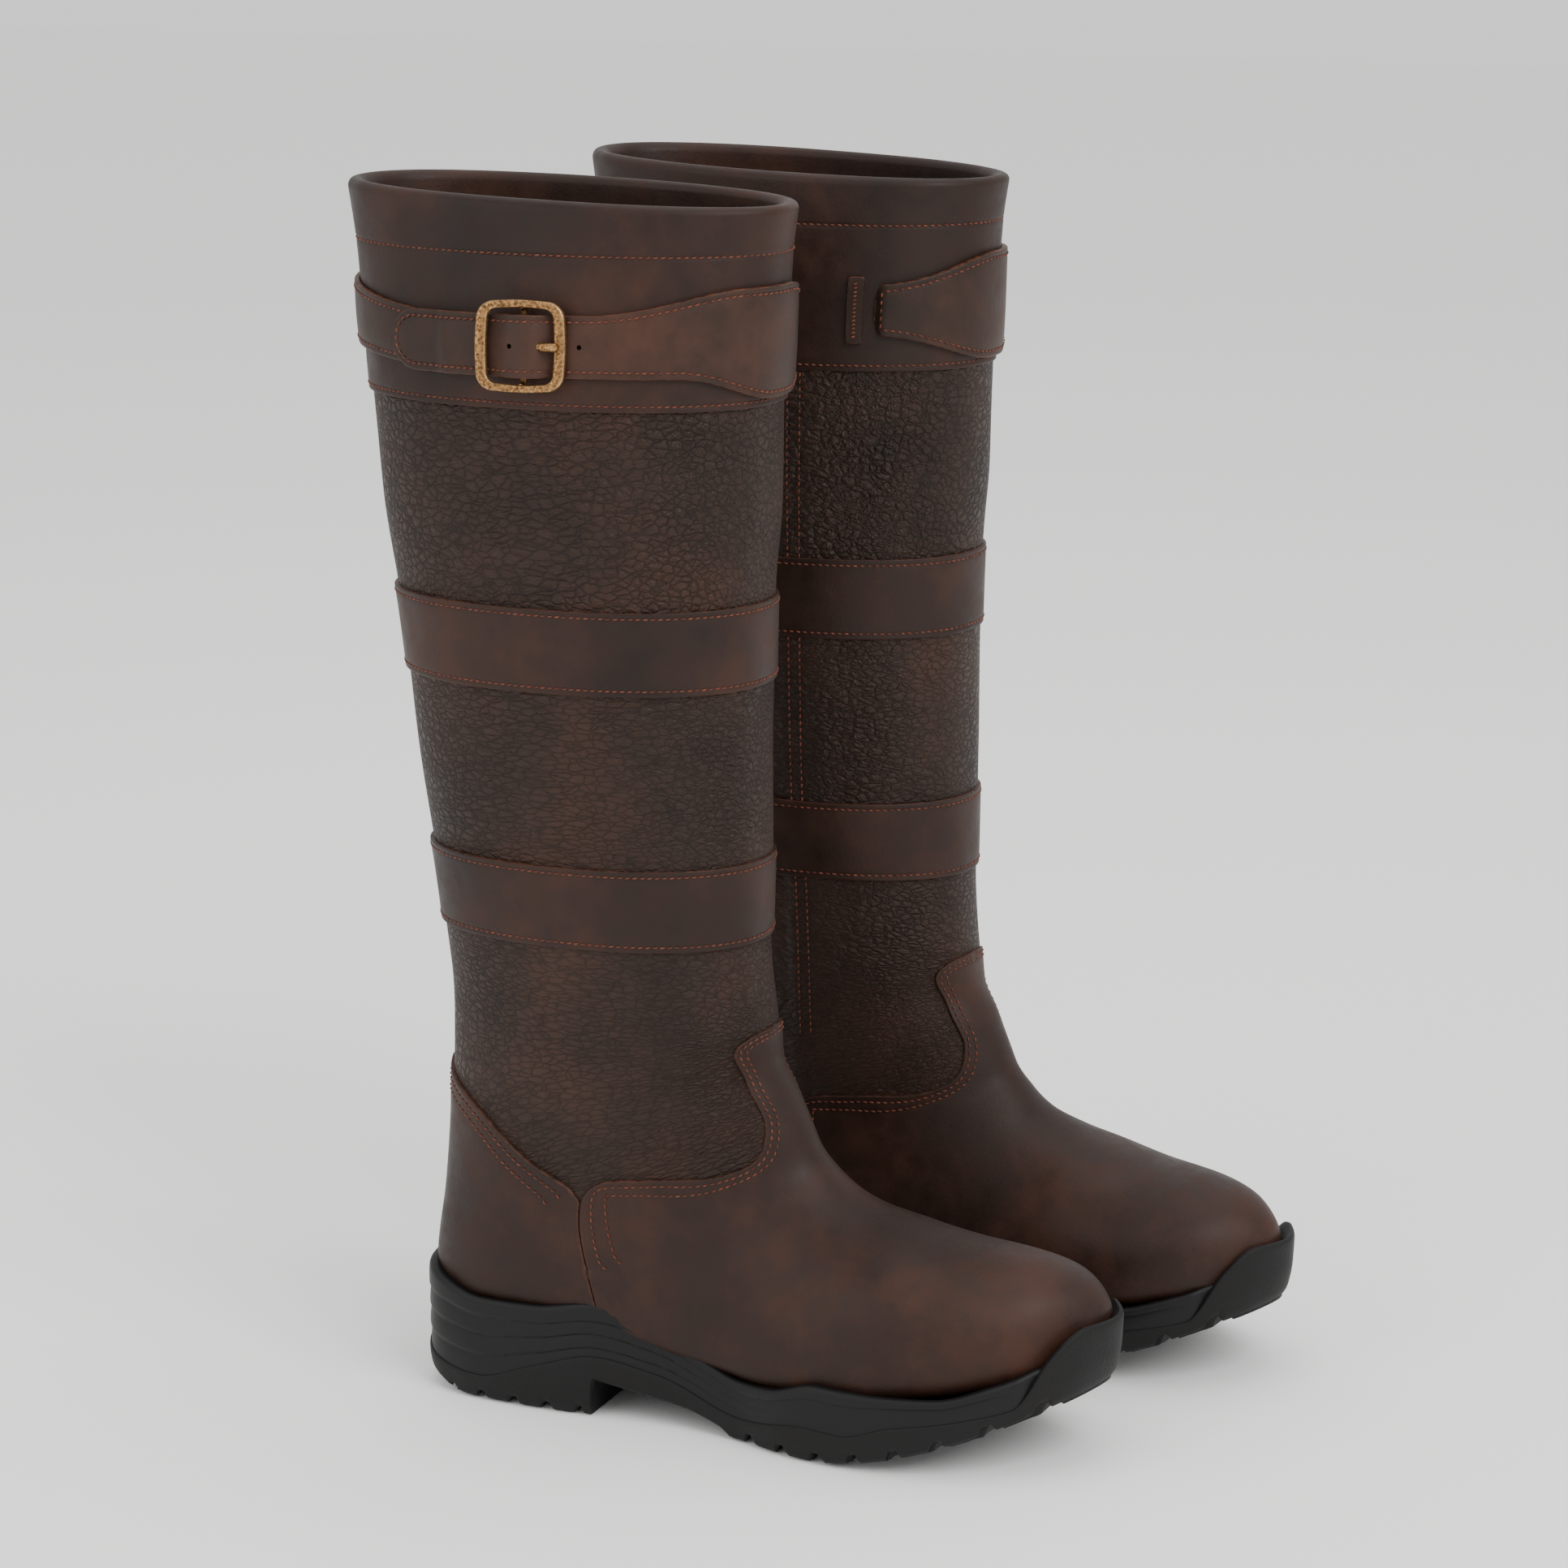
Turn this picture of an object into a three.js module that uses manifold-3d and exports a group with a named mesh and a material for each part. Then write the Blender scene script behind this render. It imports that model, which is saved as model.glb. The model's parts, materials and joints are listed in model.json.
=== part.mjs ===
// A pair of knee-high leather country riding boots, standing side by side.
// Millimetres, +Z up, toes towards -Y, the wearer's left boot at +X.
//
// Each boot is drawn once as a left boot: x is sideways (outer side of the leg positive),
// a is the distance forward from the back of the heel (a = -y) and z is height.
// The leather is laid on a skin: a stack of sections from the rim down the leg and then
// fanned round the instep to the toe. Layers are distances from that skin, outside positive.

import * as THREE from 'three';
import { mergeVertices } from 'three/addons/utils/BufferGeometryUtils.js';
import Module from 'manifold-3d';

const wasm = await Module();
wasm.setup();

// ---------------------------------------------------------------- driving dimensions

const bootHeight = 457; // ground to rim, middle of the rim
const rimDepth = 173; // rim, front to back, outside
const rimWidth = 90; // rim, side to side, outside
const calfWidth = 98; // shaft at the upper band
const ankleWidth = 77.6; // shaft above the instep
const outsoleLength = 275;
const soleBallWidth = 97; // outsole across the ball of the foot
const soleHeelWidth = 69; // outsole across the heel

const collarHeight = 74; // rim to the collar's lower edge
const collarFold = 21; // how far the collar is turned over inside the rim
const bandHeight = 31; // both sewn bands
const upperBandZ = 280; // lower edge of the upper band
const lowerBandZ = 184; // lower edge of the lower band

const leather = 1.5; // smooth outer leather: collar, bands, vamp, counter
const panelLeather = 1.5; // pebbled shaft panels
const liningLeather = 1.2;
const layerGap = 0.3; // between two pieces that lie on each other
const strapGap = 0.45; // between a strap and the collar
const seamLap = 12; // how far a panel runs under a band, the vamp or the counter
const seamSlit = 0.6; // open edge of the inner side seam

const strapWidth = 22;
const strapFlare = 40; // strap height where it crosses the front
const strapThickness = 2.2;
const strapDrop = 51; // rim down to the middle of the strap
const slotWidth = 4; // slit in the collar for the strap end
const tabWidth = 8; // small leather tab sewn beside the slit
const tabGap = 1.6;
const tailLength = 38; // free strap beyond the buckle
const buckleStrapThickness = 1.8;

const buckleLength = 32; // along the strap
const buckleBar = 4; // width of the frame's end bars
const buckleRail = 2.8; // width of its long sides, above and below the strap
const strapSideGap = 2.2; // between the strap's edge and a long side
const buckleThick = 2.8;
const buckleCornerRadius = 6.5;
const pinRadius = 1.3; // centre bar
const prongRadius = 1.2;
const holePitch = 11.5;
const holeRadius = 0.9;
const slideGap = 0.75; // strap under a buckle bar, prong beside leather

const insoleThickness = 2.2;
const footbedThickness = 4;
const shankLength = 95;
const shankWidth = 15;
const shankThickness = 1.2;
const soleWall = 3.4; // cup wall outside the leather at the sole's edge
const lugDepth = 4;
const heelBreast = 78; // back of the heel to the heel's front face

const bootSpacing = 129; // middle to middle
const leftBootForward = 35; // how far the left boot stands in front
const leftBootTurn = THREE.MathUtils.degToRad(5.5); // left toe turned inwards

// ---------------------------------------------------------------- layers (from the skin, inwards)

const outerLayer = { outside: 0, inside: -leather };
const panelLayer = {
  outside: outerLayer.inside - layerGap,
  inside: outerLayer.inside - layerGap - panelLeather,
};
const liningLayer = {
  outside: panelLayer.inside - layerGap,
  inside: panelLayer.inside - layerGap - liningLeather,
};
const foldLayer = {
  outside: liningLayer.inside - layerGap,
  inside: liningLayer.inside - layerGap - leather,
};

// Height from the sole's bed up to the underside of the lining.
const liningLift = insoleThickness + 2 * layerGap;
// The skin's own underside lies this far below the bed.
const skinDrop = -liningLayer.outside - liningLift;

// ---------------------------------------------------------------- the skin

const columns = 16; // points around each section
const wide = 120; // half width of the side-view prisms, beyond any part

const L = outsoleLength;
const curve = (points) => new THREE.SplineCurve(points.map(([a, z]) => new THREE.Vector2(a, z)));

// Top of the sole's bed, where the insole board lies.
const bedLine = [
  [-0.05, 34.2], [0.05, 33.8], [0.22, 31], [0.43, 24], [0.58, 18.6], [0.7, 21.5],
  [0.79, 26], [0.87, 30], [0.925, 33.5], [0.982, 37], [1.03, 41],
].map(([share, z]) => [share * L, z]);

// Straight-line interpolation of an outline given as [a, value] points.
function heightAt(line, a) {
  let k = 1;
  while (k < line.length - 1 && line[k][0] < a) {
    k += 1;
  }
  const [a0, z0] = line[k - 1];
  const [a1, z1] = line[k];
  return z0 + ((z1 - z0) * (a - a0)) / (a1 - a0);
}

// A level section of the shaft, superelliptic: front and rear in a, half width in x.
function level(z, front, rear, half, tilt = 0) {
  return {
    top: [front, z - tilt], base: [rear, z + tilt], half, shift: 0,
    middle: 0.5, upperPower: 2.2, lowerPower: 2.2,
  };
}

// A section of the foot, from a point on the instep to one on the heel or the sole.
function fan(top, base, half, shift, middle, lowerPower) {
  return { top, base, half, shift, middle, upperPower: 2.15, lowerPower };
}

const underfoot = (share) => [share * L, heightAt(bedLine, share * L) - skinDrop];
const rimTilt = 2.5; // the rim is this much lower in front and higher behind
const rimCentre = 60.7;
const footHalf = (soleBallWidth - 2 * soleWall) / 2 - 1;
const heelHalf = soleHeelWidth / 2 - 1;
const ankleHalf = ankleWidth / 2;
const calfHalf = calfWidth / 2;
const instepTop = 150;
const strapZ = bootHeight - strapDrop;
const collarZ = bootHeight - collarHeight;

const panelSwell = 1.2; // the pebbled panels stand out a little between the bands

const sections = [
  level(bootHeight, rimCentre + rimDepth / 2, rimCentre - rimDepth / 2, rimWidth / 2, rimTilt),
  level(bootHeight - collarFold, 144.4, -22, rimWidth / 2 + 1.6),
  level(collarZ, 141.5, -17.4, calfHalf + 1),
  level(345, 139.6 + panelSwell, -12.6 - panelSwell, calfHalf + panelSwell),
  level(upperBandZ + bandHeight, 137.9, -8.2, calfHalf),
  level(250, 135.8 + panelSwell, -panelSwell, calfHalf - 3 + panelSwell),
  level(lowerBandZ, 137.2, 7.8, ankleHalf + 3.1),
  level(instepTop, 140, 10.6, ankleHalf),
  fan([0.513 * L, 138], [0.035 * L, 112], ankleHalf - 1.8, 0, 0.5, 2.2),
  fan([0.535 * L, 126.5], [0.026 * L, 80], ankleHalf - 3, 0, 0.49, 2.35),
  fan([0.557 * L, 114.5], [0.012 * L, 50], heelHalf, 0, 0.46, 2.6),
  fan([0.571 * L, 106], [0.045 * L, 34.6], heelHalf, 0, 0.4, 3),
  fan([0.59 * L, 99], underfoot(0.22), heelHalf, 0, 0.34, 3.4),
  fan([0.62 * L, 91], underfoot(0.43), 0.82 * footHalf, 0.5, 0.3, 3.8),
  fan([0.66 * L, 85.2], underfoot(0.58), 0.93 * footHalf, 1.5, 0.3, 4),
  fan([0.71 * L, 80.8], underfoot(0.7), footHalf, 1.5, 0.3, 4),
  fan([0.79 * L, 75.8], underfoot(0.79), 0.95 * footHalf, 0, 0.32, 4),
  fan([0.87 * L, 73.3], underfoot(0.87), 0.79 * footHalf, -1.5, 0.34, 3.8),
  fan([0.925 * L, 70], underfoot(0.925), 0.57 * footHalf, -3, 0.38, 3.5),
  fan([0.965 * L, 63], underfoot(0.965), 0.32 * footHalf, -4, 0.42, 3),
  fan([0.982 * L, 56], underfoot(0.982), 0.14 * footHalf, -4, 0.5, 2.4),
];

// A point of a section, phi = 0 at its top and half a turn at its base, outer side first.
function sectionPoint(section, phi) {
  const c = Math.cos(phi);
  const s = Math.sin(phi);
  const power = 2 / (c > 0 ? section.upperPower : section.lowerPower);
  const reach = c > 0 ? 1 - section.middle : section.middle;
  const along = section.middle + Math.sign(c) * reach * Math.abs(c) ** power;
  const across = Math.sign(s) * section.half * Math.abs(s) ** power;
  const a = section.base[0] + along * (section.top[0] - section.base[0]);
  const z = section.base[1] + along * (section.top[1] - section.base[1]);
  return new THREE.Vector3(section.shift + across, -a, z);
}

const lattice = sections.map((section) =>
  Array.from({ length: columns }, (_, j) => sectionPoint(section, (2 * Math.PI * j) / columns)));

// Outward normal at each lattice point, from its neighbours.
const normals = lattice.map((row, i) => row.map((point, j) => {
  const below = lattice[Math.min(i + 1, lattice.length - 1)][j];
  const above = lattice[Math.max(i - 1, 0)][j];
  const next = row[(j + 1) % columns];
  const previous = row[(j + columns - 1) % columns];
  const down = below.clone().sub(above);
  const around = next.clone().sub(previous);
  const normal = around.cross(down).negate();
  return (i === 0 ? normal.setZ(0) : normal).normalize();
}));

// The skin between lattice points: row counts sections from the rim, phi goes around.
function onSkin(row, phi, offset) {
  const turn = ((phi / (2 * Math.PI)) % 1 + 1) % 1 * columns;
  const i = Math.min(Math.floor(row), lattice.length - 2);
  const j = Math.floor(turn);
  const u = row - i;
  const v = turn - j;
  const corner = (r, c) =>
    lattice[r][c % columns].clone().addScaledVector(normals[r][c % columns], offset);
  const above = corner(i, j).lerp(corner(i, j + 1), v);
  const below = corner(i + 1, j).lerp(corner(i + 1, j + 1), v);
  return above.lerp(below, u);
}

// The row of the skin that passes through a height, on the shaft.
function rowAt(z) {
  const heights = sections.map((section) => (section.top[1] + section.base[1]) / 2);
  let i = 0;
  while (heights[i + 1] > z) {
    i += 1;
  }
  return i + (heights[i] - z) / (heights[i] - heights[i + 1]);
}

// ---------------------------------------------------------------- solids

// A closed solid from points and triangles.
function solid(points, faces) {
  const geometry = new THREE.BufferGeometry();
  const flat = points.flatMap((p) => [p.x, p.y, p.z]);
  geometry.setAttribute('position', new THREE.Float32BufferAttribute(flat, 3));
  geometry.setIndex(faces.flat());
  return toManifold(geometry);
}

function toManifold(geometry) {
  geometry.deleteAttribute('normal');
  geometry.deleteAttribute('uv');
  const merged = mergeVertices(geometry, 1e-4);
  return new wasm.Manifold(new wasm.Mesh({
    numProp: 3,
    vertProperties: new Float32Array(merged.attributes.position.array),
    triVerts: new Uint32Array(merged.index.array),
  }));
}

function toGeometry(manifold) {
  const mesh = manifold.getMesh();
  const geometry = new THREE.BufferGeometry();
  geometry.setAttribute('position', new THREE.BufferAttribute(new Float32Array(mesh.vertProperties), 3));
  geometry.setIndex(new THREE.BufferAttribute(new Uint32Array(mesh.triVerts), 1));
  return geometry;
}

// Rings of equal length joined into a tube. Each end is closed on its own middle, or for a
// ring that runs down one side and back up the other, straight across from side to side.
function loft(rings, across = false) {
  const count = rings[0].length;
  const points = rings.flat();
  const faces = [];
  for (let i = 0; i < rings.length - 1; i += 1) {
    for (let j = 0; j < count; j += 1) {
      const next = (j + 1) % count;
      const [p, q] = [i * count + j, i * count + next];
      const [r, s] = [p + count, q + count];
      faces.push([p, r, s], [p, s, q]);
    }
  }
  const ends = [[rings[0], 0, false], [rings.at(-1), (rings.length - 1) * count, true]];
  for (const [ring, start, flip] of ends) {
    const cap = across ? ladder(count) : star(count, points.length - start);
    if (!across) {
      points.push(ring.reduce((sum, p) => sum.add(p), new THREE.Vector3()).divideScalar(count));
    }
    faces.push(...cap.map((face) => (flip ? [...face].reverse() : face).map((j) => start + j)));
  }
  return outward(points, faces);
}

const star = (count, centre) => Array.from({ length: count }, (_, j) => [j, (j + 1) % count, centre]);

function ladder(count) {
  const faces = [];
  for (let j = 0; j < count / 2; j += 1) {
    const other = (count - j) % count;
    faces.push([j, j + 1, count - j - 1], [j, count - j - 1, other]);
  }
  return faces.filter(([p, q, r]) => p !== q && q !== r && p !== r);
}

// The same solid whichever way its faces were listed.
function outward(points, faces) {
  let volume = 0;
  for (const [i, j, k] of faces) {
    volume += points[i].dot(points[j].clone().cross(points[k]));
  }
  const turned = volume > 0 ? faces : faces.map(([i, j, k]) => [i, k, j]);
  return solid(points, turned);
}

// Everything inside the skin at an offset, with the rim raised or lowered.
function last(offset, rimShift = 0) {
  const rings = lattice.map((row, i) =>
    row.map((point, j) => point.clone().addScaledVector(normals[i][j], offset)));
  const lift = new THREE.Vector3(0, 0, rimShift);
  if (rimShift > 0) {
    rings.unshift(rings[0].map((point) => point.clone().add(lift)));
  } else {
    const toFold = lattice[0].map((point, j) => lattice[1][j].clone().sub(point));
    rings[0] = rings[0].map((point, j) => point.addScaledVector(toFold[j], -rimShift / collarFold));
  }
  return loft(rings);
}

const shell = (layer, rimShift) =>
  last(layer.outside, rimShift).subtract(last(layer.inside, rimShift + 1));

// A prism across the boot from an outline in the side view, points as [a, z].
const sideBasis = new THREE.Matrix4().makeBasis(
  new THREE.Vector3(0, -1, 0), new THREE.Vector3(0, 0, 1), new THREE.Vector3(-1, 0, 0));

function prism(outline, from = -wide, to = wide) {
  const shape = new THREE.Shape(outline.map(([a, z]) => new THREE.Vector2(a, z)));
  const geometry = new THREE.ExtrudeGeometry(shape, { depth: to - from, bevelEnabled: false });
  geometry.translate(0, 0, -to);
  geometry.applyMatrix4(sideBasis);
  return toManifold(geometry);
}

const smooth = (points, count) => curve(points).getPoints(count).map((p) => [p.x, p.y]);
const raised = (line, lift) => line.map(([a, z]) => [a, z + lift]);
const far = 400;
const high = bootHeight + far;
const above = (z) => prism([[-far, z], [far, z], [far, high], [-far, high]]);
const below = (z) => prism([[-far, -far], [far, -far], [far, z], [-far, z]]);
const aboveLine = (line) =>
  prism([[-far, line[0][1]], ...line, [far, line.at(-1)[1]], [far, high], [-far, high]]);
const belowLine = (line) => prism([[-far, -far], [far, -far], [far, line.at(-1)[1]], ...[...line].reverse(),
  [-far, line[0][1]]]);

// ---------------------------------------------------------------- side-view outlines

const scaleA = (points) => points.map(([share, z]) => [share * L, z]);

// The vamp's edge: from the front of the ankle, round the side tongue and down to the sole.
const vampEdge = smooth(scaleA([
  [0.56, 152], [0.505, 151], [0.481, 145], [0.495, 132], [0.519, 117], [0.512, 105],
  [0.47, 98.5], [0.38, 95.5], [0.302, 92.5], [0.276, 86], [0.271, 74], [0.282, 58], [0.297, 40],
  [0.3, 10],
]), 20);
// The counter's top edge: from the back of the heel down to the vamp's corner.
const counterEdge = smooth(scaleA([[-0.1, 130], [0.03, 127], [0.12, 113], [0.19, 99.5], [0.268, 87]]), 6);

const vampOutline = [...vampEdge, [2 * L, 10], [2 * L, 152]];
const counterOutline = [
  ...counterEdge,
  ...vampEdge.filter(([a, z]) => z < 86 && a < 0.32 * L).map(([a, z]) => [a - layerGap, z]),
  [-0.1 * L, 10],
];

// ---------------------------------------------------------------- upper

const wallFoot = raised(bedLine, liningLift + 1);

function seamCut() {
  const seamA = 0.285 * L;
  return prism([[seamA, -far], [seamA + seamSlit, -far], [seamA + seamSlit, high], [seamA, high]], -wide, -5);
}

function collar() {
  const walls = last(outerLayer.outside).subtract(last(foldLayer.inside, 10));
  const channel = last(outerLayer.inside, -leather).subtract(last(foldLayer.outside, layerGap));
  const lowerInside = last(panelLayer.inside, -collarFold);
  const fold = walls.intersect(above(collarZ)).subtract(channel).subtract(lowerInside);
  return fold.subtract(strapSlot());
}

const rimShift = -leather - layerGap;
const panelRing = (from, to) => shell(panelLayer, rimShift).intersect(above(from)).intersect(below(to))
  .subtract(seamCut());
const band = (z) => shell(outerLayer, 0).intersect(above(z)).intersect(below(z + bandHeight));

const upperJoint = upperBandZ + bandHeight / 2;
const lowerJoint = lowerBandZ + bandHeight / 2;
const upperPanel = () => panelRing(upperJoint + layerGap, high);
const middlePanel = () => panelRing(lowerJoint + layerGap, upperJoint);

// The lower panel runs down under the vamp and the counter by the seam lap.
const lapDown = (points) => points.map(([a, z]) => [a + seamLap * 0.6, z - seamLap * 0.8]);
const lowerPanelFoot = [[-0.2 * L, 112], ...counterEdge.slice(2, -1).map(([a, z]) => [a, z - seamLap]),
  ...lapDown(smooth(scaleA([[0.3, 92.5], [0.38, 95.5], [0.47, 98.5], [0.512, 105]]), 6)), [0.7 * L, 126]];

function lowerPanel() {
  return shell(panelLayer, rimShift).intersect(below(lowerJoint)).intersect(aboveLine(lowerPanelFoot))
    .subtract(seamCut());
}

function vamp() {
  return shell(outerLayer, 0).intersect(prism(vampOutline)).intersect(aboveLine(wallFoot));
}

function heelCounter() {
  return shell(outerLayer, 0).intersect(prism(counterOutline)).intersect(aboveLine(wallFoot));
}

// Stiff pieces between the outer leather and the lining.
const puffStart = 0.8 * L;
const stiffenerEnd = 0.3 * L;

function toePuff() {
  const front = prism([[puffStart, 0], [2 * L, 0], [2 * L, 200], [puffStart, 200]]);
  return shell(panelLayer, rimShift).intersect(front).intersect(aboveLine(wallFoot));
}

function heelStiffener() {
  const back = prism([[-far, 0], [stiffenerEnd, 0], [stiffenerEnd, 200], [-far, 200]]);
  return shell(panelLayer, rimShift).intersect(back).intersect(aboveLine(wallFoot))
    .intersect(belowLine(raised(lowerPanelFoot, -layerGap)));
}

const liningShell = () => shell(liningLayer, rimShift);

function insoleBoard() {
  return last(-layerGap).intersect(aboveLine(raised(bedLine, layerGap)))
    .intersect(belowLine(raised(bedLine, layerGap + insoleThickness)));
}

const footbedEnd = 0.94 * L; // the footbed stops short of the toe cap's tip
const footbedReach = [[-far, 0], [footbedEnd, 0], [footbedEnd, high], [-far, high]];

function footbed() {
  const floor = liningLift + liningLeather + layerGap;
  return last(liningLayer.inside - 3 * layerGap)
    .intersect(belowLine(raised(bedLine, floor + footbedThickness)))
    .intersect(aboveLine(raised(bedLine, floor))).intersect(prism(footbedReach));
}

// ---------------------------------------------------------------- sole

const soleCentreShift = [[0, 0], [0.35, 0], [0.58, 1.5], [0.72, 1.5], [0.9, -0.6], [1, -2.2]];
const soleHalfWidth = [
  [0, 0], [0.01, 0.42], [0.035, 0.7], [0.08, 0.88], [0.15, 0.97], [0.24, 1], [0.34, 0.95], [0.42, 0.93],
  [0.5, 1.05], [0.58, 1.28], [0.66, 1.4], [0.73, 1.42], [0.81, 1.34], [0.88, 1.12], [0.94, 0.8],
  [0.98, 0.44], [1, 0],
];
const ballShare = 1.42; // widest value of the list above, as a share of the heel's half width

// The ground line under the sole, rising at the toe.
const springLine = smooth(scaleA([
  [-0.1, 0], [0.3, 0], [0.62, 0], [0.7, 3], [0.82, 12.5], [0.93, 24], [1.05, 36],
]), 9);

// The sole's plan outline, pulled in by an inset, at a height above the ground line.
function solePlan(inset, height) {
  const half = soleHeelWidth / 2;
  const ball = soleBallWidth / 2;
  const shares = soleHalfWidth.map(([share]) => share * L);
  const middle = shares.map((a, k) => {
    const value = soleHalfWidth[k][1];
    const width = value <= 1 ? value * half : half + ((value - 1) / (ballShare - 1)) * (ball - half);
    const shift = heightAt(soleCentreShift, a / L);
    return { a: a + inset * (1 - (2 * a) / L), width: Math.max(width - inset, 0), shift };
  });
  const side = (sign) => middle.map(({ a, width, shift }) =>
    new THREE.Vector3(shift + sign * width, -a, heightAt(springLine, a) + height));
  return [...side(1), ...side(-1).slice(1, -1).reverse()];
}

// The whole sole as a loft, wider in the middle of its height.
function soleBlock() {
  const wall = [[70, 0.8], [40, 0], [28, 0], [12, 0.6], [3, 2.2], [-4, 4]];
  return loft(wall.map(([height, inset]) => solePlan(inset, height)), true);
}

const partingLine = smooth(scaleA([
  [-0.05, 27], [0.03, 13], [0.11, 9.8], [0.2, 17.5], [0.29, 24.2], [0.38, 20], [0.51, 9.6],
  [0.62, 13.6], [0.67, 13], [0.74, 18.6], [0.83, 22.6], [0.9, 26.6], [0.935, 36],
]), 16);
const randLine = smooth(scaleA([
  [-0.05, 52], [0.05, 44.5], [0.12, 40.5], [0.2, 41], [0.29, 44.6], [0.37, 39], [0.45, 28.5],
  [0.51, 23.6], [0.56, 24.6], [0.63, 30], [0.72, 29.6], [0.8, 30], [0.88, 35.6], [0.935, 40.5],
]), 16);
const bumperBack = [[0.936, 37], [0.946, 46], [0.955, 53]];
const bumperTop = [[0.975, 54.5], [1.05, 58]];
const midsoleEnd = 0.9355; // the midsole ends against the toe bumper

const heelTeeth = 4;
const foreTeeth = 8;

// The tread: teeth under the heel and the forefoot, cut across the sole.
function treadLine() {
  const heel = teeth(0.08 * L, heelBreast, heelTeeth, 0);
  const arch = [[heelBreast + 0.5, 15], [0.35 * L, 11.5], [0.43 * L, 7.5], [0.475 * L, 3.4]];
  const fore = teeth(0.49 * L, 0.93 * L, foreTeeth, 1);
  const back = scaleA([[-0.02, 18], [0.02, 6], [0.055, 1.5]]);
  const toe = scaleA([[0.97, 27], [1.02, 36]]);
  return [...back, ...heel, ...arch, ...fore, ...toe];
}

function teeth(from, to, count, spread) {
  const pitch = (to - from) / count;
  const land = 0.62;
  const points = [];
  for (let k = 0; k < count; k += 1) {
    const start = from + k * pitch + (spread * pitch * (1 - land)) / 2;
    const end = start + pitch * (k === count - 1 && !spread ? 1 : land);
    const ground = (a) => Math.max(heightAt(springLine, a), 0);
    points.push([start, ground(start)], [end, ground(end)]);
    if (k < count - 1) {
      const root = end + pitch * (1 - land);
      points.push([end + 1, ground(end) + lugDepth], [root - 1, ground(root) + lugDepth]);
    }
  }
  return points;
}

const cavity = () => last(layerGap).intersect(aboveLine(bedLine));
const shankFrom = heelBreast - 18;
const shankStations = [0, 0.5, 1].map((t) => shankFrom + t * shankLength);
const shankLine = (lift) => smooth(shankStations.map((a) => [a, heightAt(bedLine, a) + lift]), 6);

function shank(grow = 0) {
  const lower = shankLine(-layerGap - shankThickness - grow);
  const upper = shankLine(grow ? far : -layerGap).reverse();
  lower[0] = [lower[0][0] - grow, lower[0][1]];
  lower[lower.length - 1] = [lower.at(-1)[0] + grow, lower.at(-1)[1]];
  upper[0] = [upper[0][0] + grow, upper[0][1]];
  upper[upper.length - 1] = [upper.at(-1)[0] - grow, upper.at(-1)[1]];
  return prism([...lower, ...upper], -shankWidth / 2 - grow, shankWidth / 2 + grow);
}

function midsole() {
  const outline = [...raised(partingLine, layerGap), ...scaleA(bumperBack).map(([a, z]) => [a - layerGap, z]),
    ...[...randLine].reverse().filter(([a]) => a < 0.94 * L)];
  const pocket = shank(layerGap);
  return soleBlock().intersect(prism(outline)).subtract(cavity()).subtract(pocket);
}

function outsole() {
  const outline = [...treadLine(), ...scaleA(bumperTop).reverse(), ...scaleA(bumperBack).reverse(),
    ...[...partingLine].reverse().slice(1)];
  return soleBlock().intersect(prism(outline)).subtract(cavity()).subtract(midsoleSpace());
}

const midsoleSpace = () => prism([...partingLine, ...scaleA([[midsoleEnd, 60], [-0.05, 60]])]);

// ---------------------------------------------------------------- straps

const buckleTurn = THREE.MathUtils.degToRad(88); // round the skin from the front to the buckle
const slotTurn = THREE.MathUtils.degToRad(-52); // to the slit on the inner side
const strapRow = rowAt(strapZ);
const degree = Math.PI / 180;
const slotStep = degree / onSkin(strapRow, slotTurn, 0).distanceTo(onSkin(strapRow, slotTurn + degree, 0));
const fromSlot = (distance) => slotTurn + distance * slotStep; // millimetres round the skin from the slit

// Walks along the skin at strap height from the buckle; positive towards the back.
const walkStep = Math.PI / 360;
function turnAt(distance) {
  let phi = buckleTurn;
  let left = Math.abs(distance);
  const direction = Math.sign(distance) * walkStep;
  while (left > 0) {
    const hop = onSkin(strapRow, phi, 0).distanceTo(onSkin(strapRow, phi + direction, 0));
    phi += direction * Math.min(1, left / hop);
    left -= hop;
  }
  return phi;
}

// The same stations with one more wherever the strip crosses a column of the skin.
function onColumns(stations) {
  const step = (2 * Math.PI) / columns;
  return stations.flatMap((station, k) => {
    const next = stations[k + 1];
    if (!next) {
      return [station];
    }
    const [low, top] = [station.phi, next.phi].sort((p, q) => p - q);
    const crossed = [];
    for (let c = Math.ceil(low / step + 1e-3); c * step < top - 1e-3; c += 1) {
      const t = (c * step - station.phi) / (next.phi - station.phi);
      const mixed = Object.fromEntries(Object.keys(station).map((key) =>
        [key, THREE.MathUtils.lerp(station[key], next[key], t)]));
      crossed.push(mixed);
    }
    return [station, ...(next.phi > station.phi ? crossed : crossed.reverse())];
  });
}

// A strip laid on the skin. Each station: phi, top and bottom heights, underside, thickness.
function ribbon(stations) {
  const rings = onColumns(stations).map(({ phi, top, bottom, off, thick }) => [
    onSkin(rowAt(top), phi, off), onSkin(rowAt(bottom), phi, off),
    onSkin(rowAt(bottom), phi, off + thick), onSkin(rowAt(top), phi, off + thick),
  ]);
  return loft(rings);
}

const between = (from, to, count) =>
  Array.from({ length: count + 1 }, (_, k) => from + ((to - from) * k) / count);
const ease = (t) => THREE.MathUtils.smoothstep(t, 0, 1);

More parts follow.
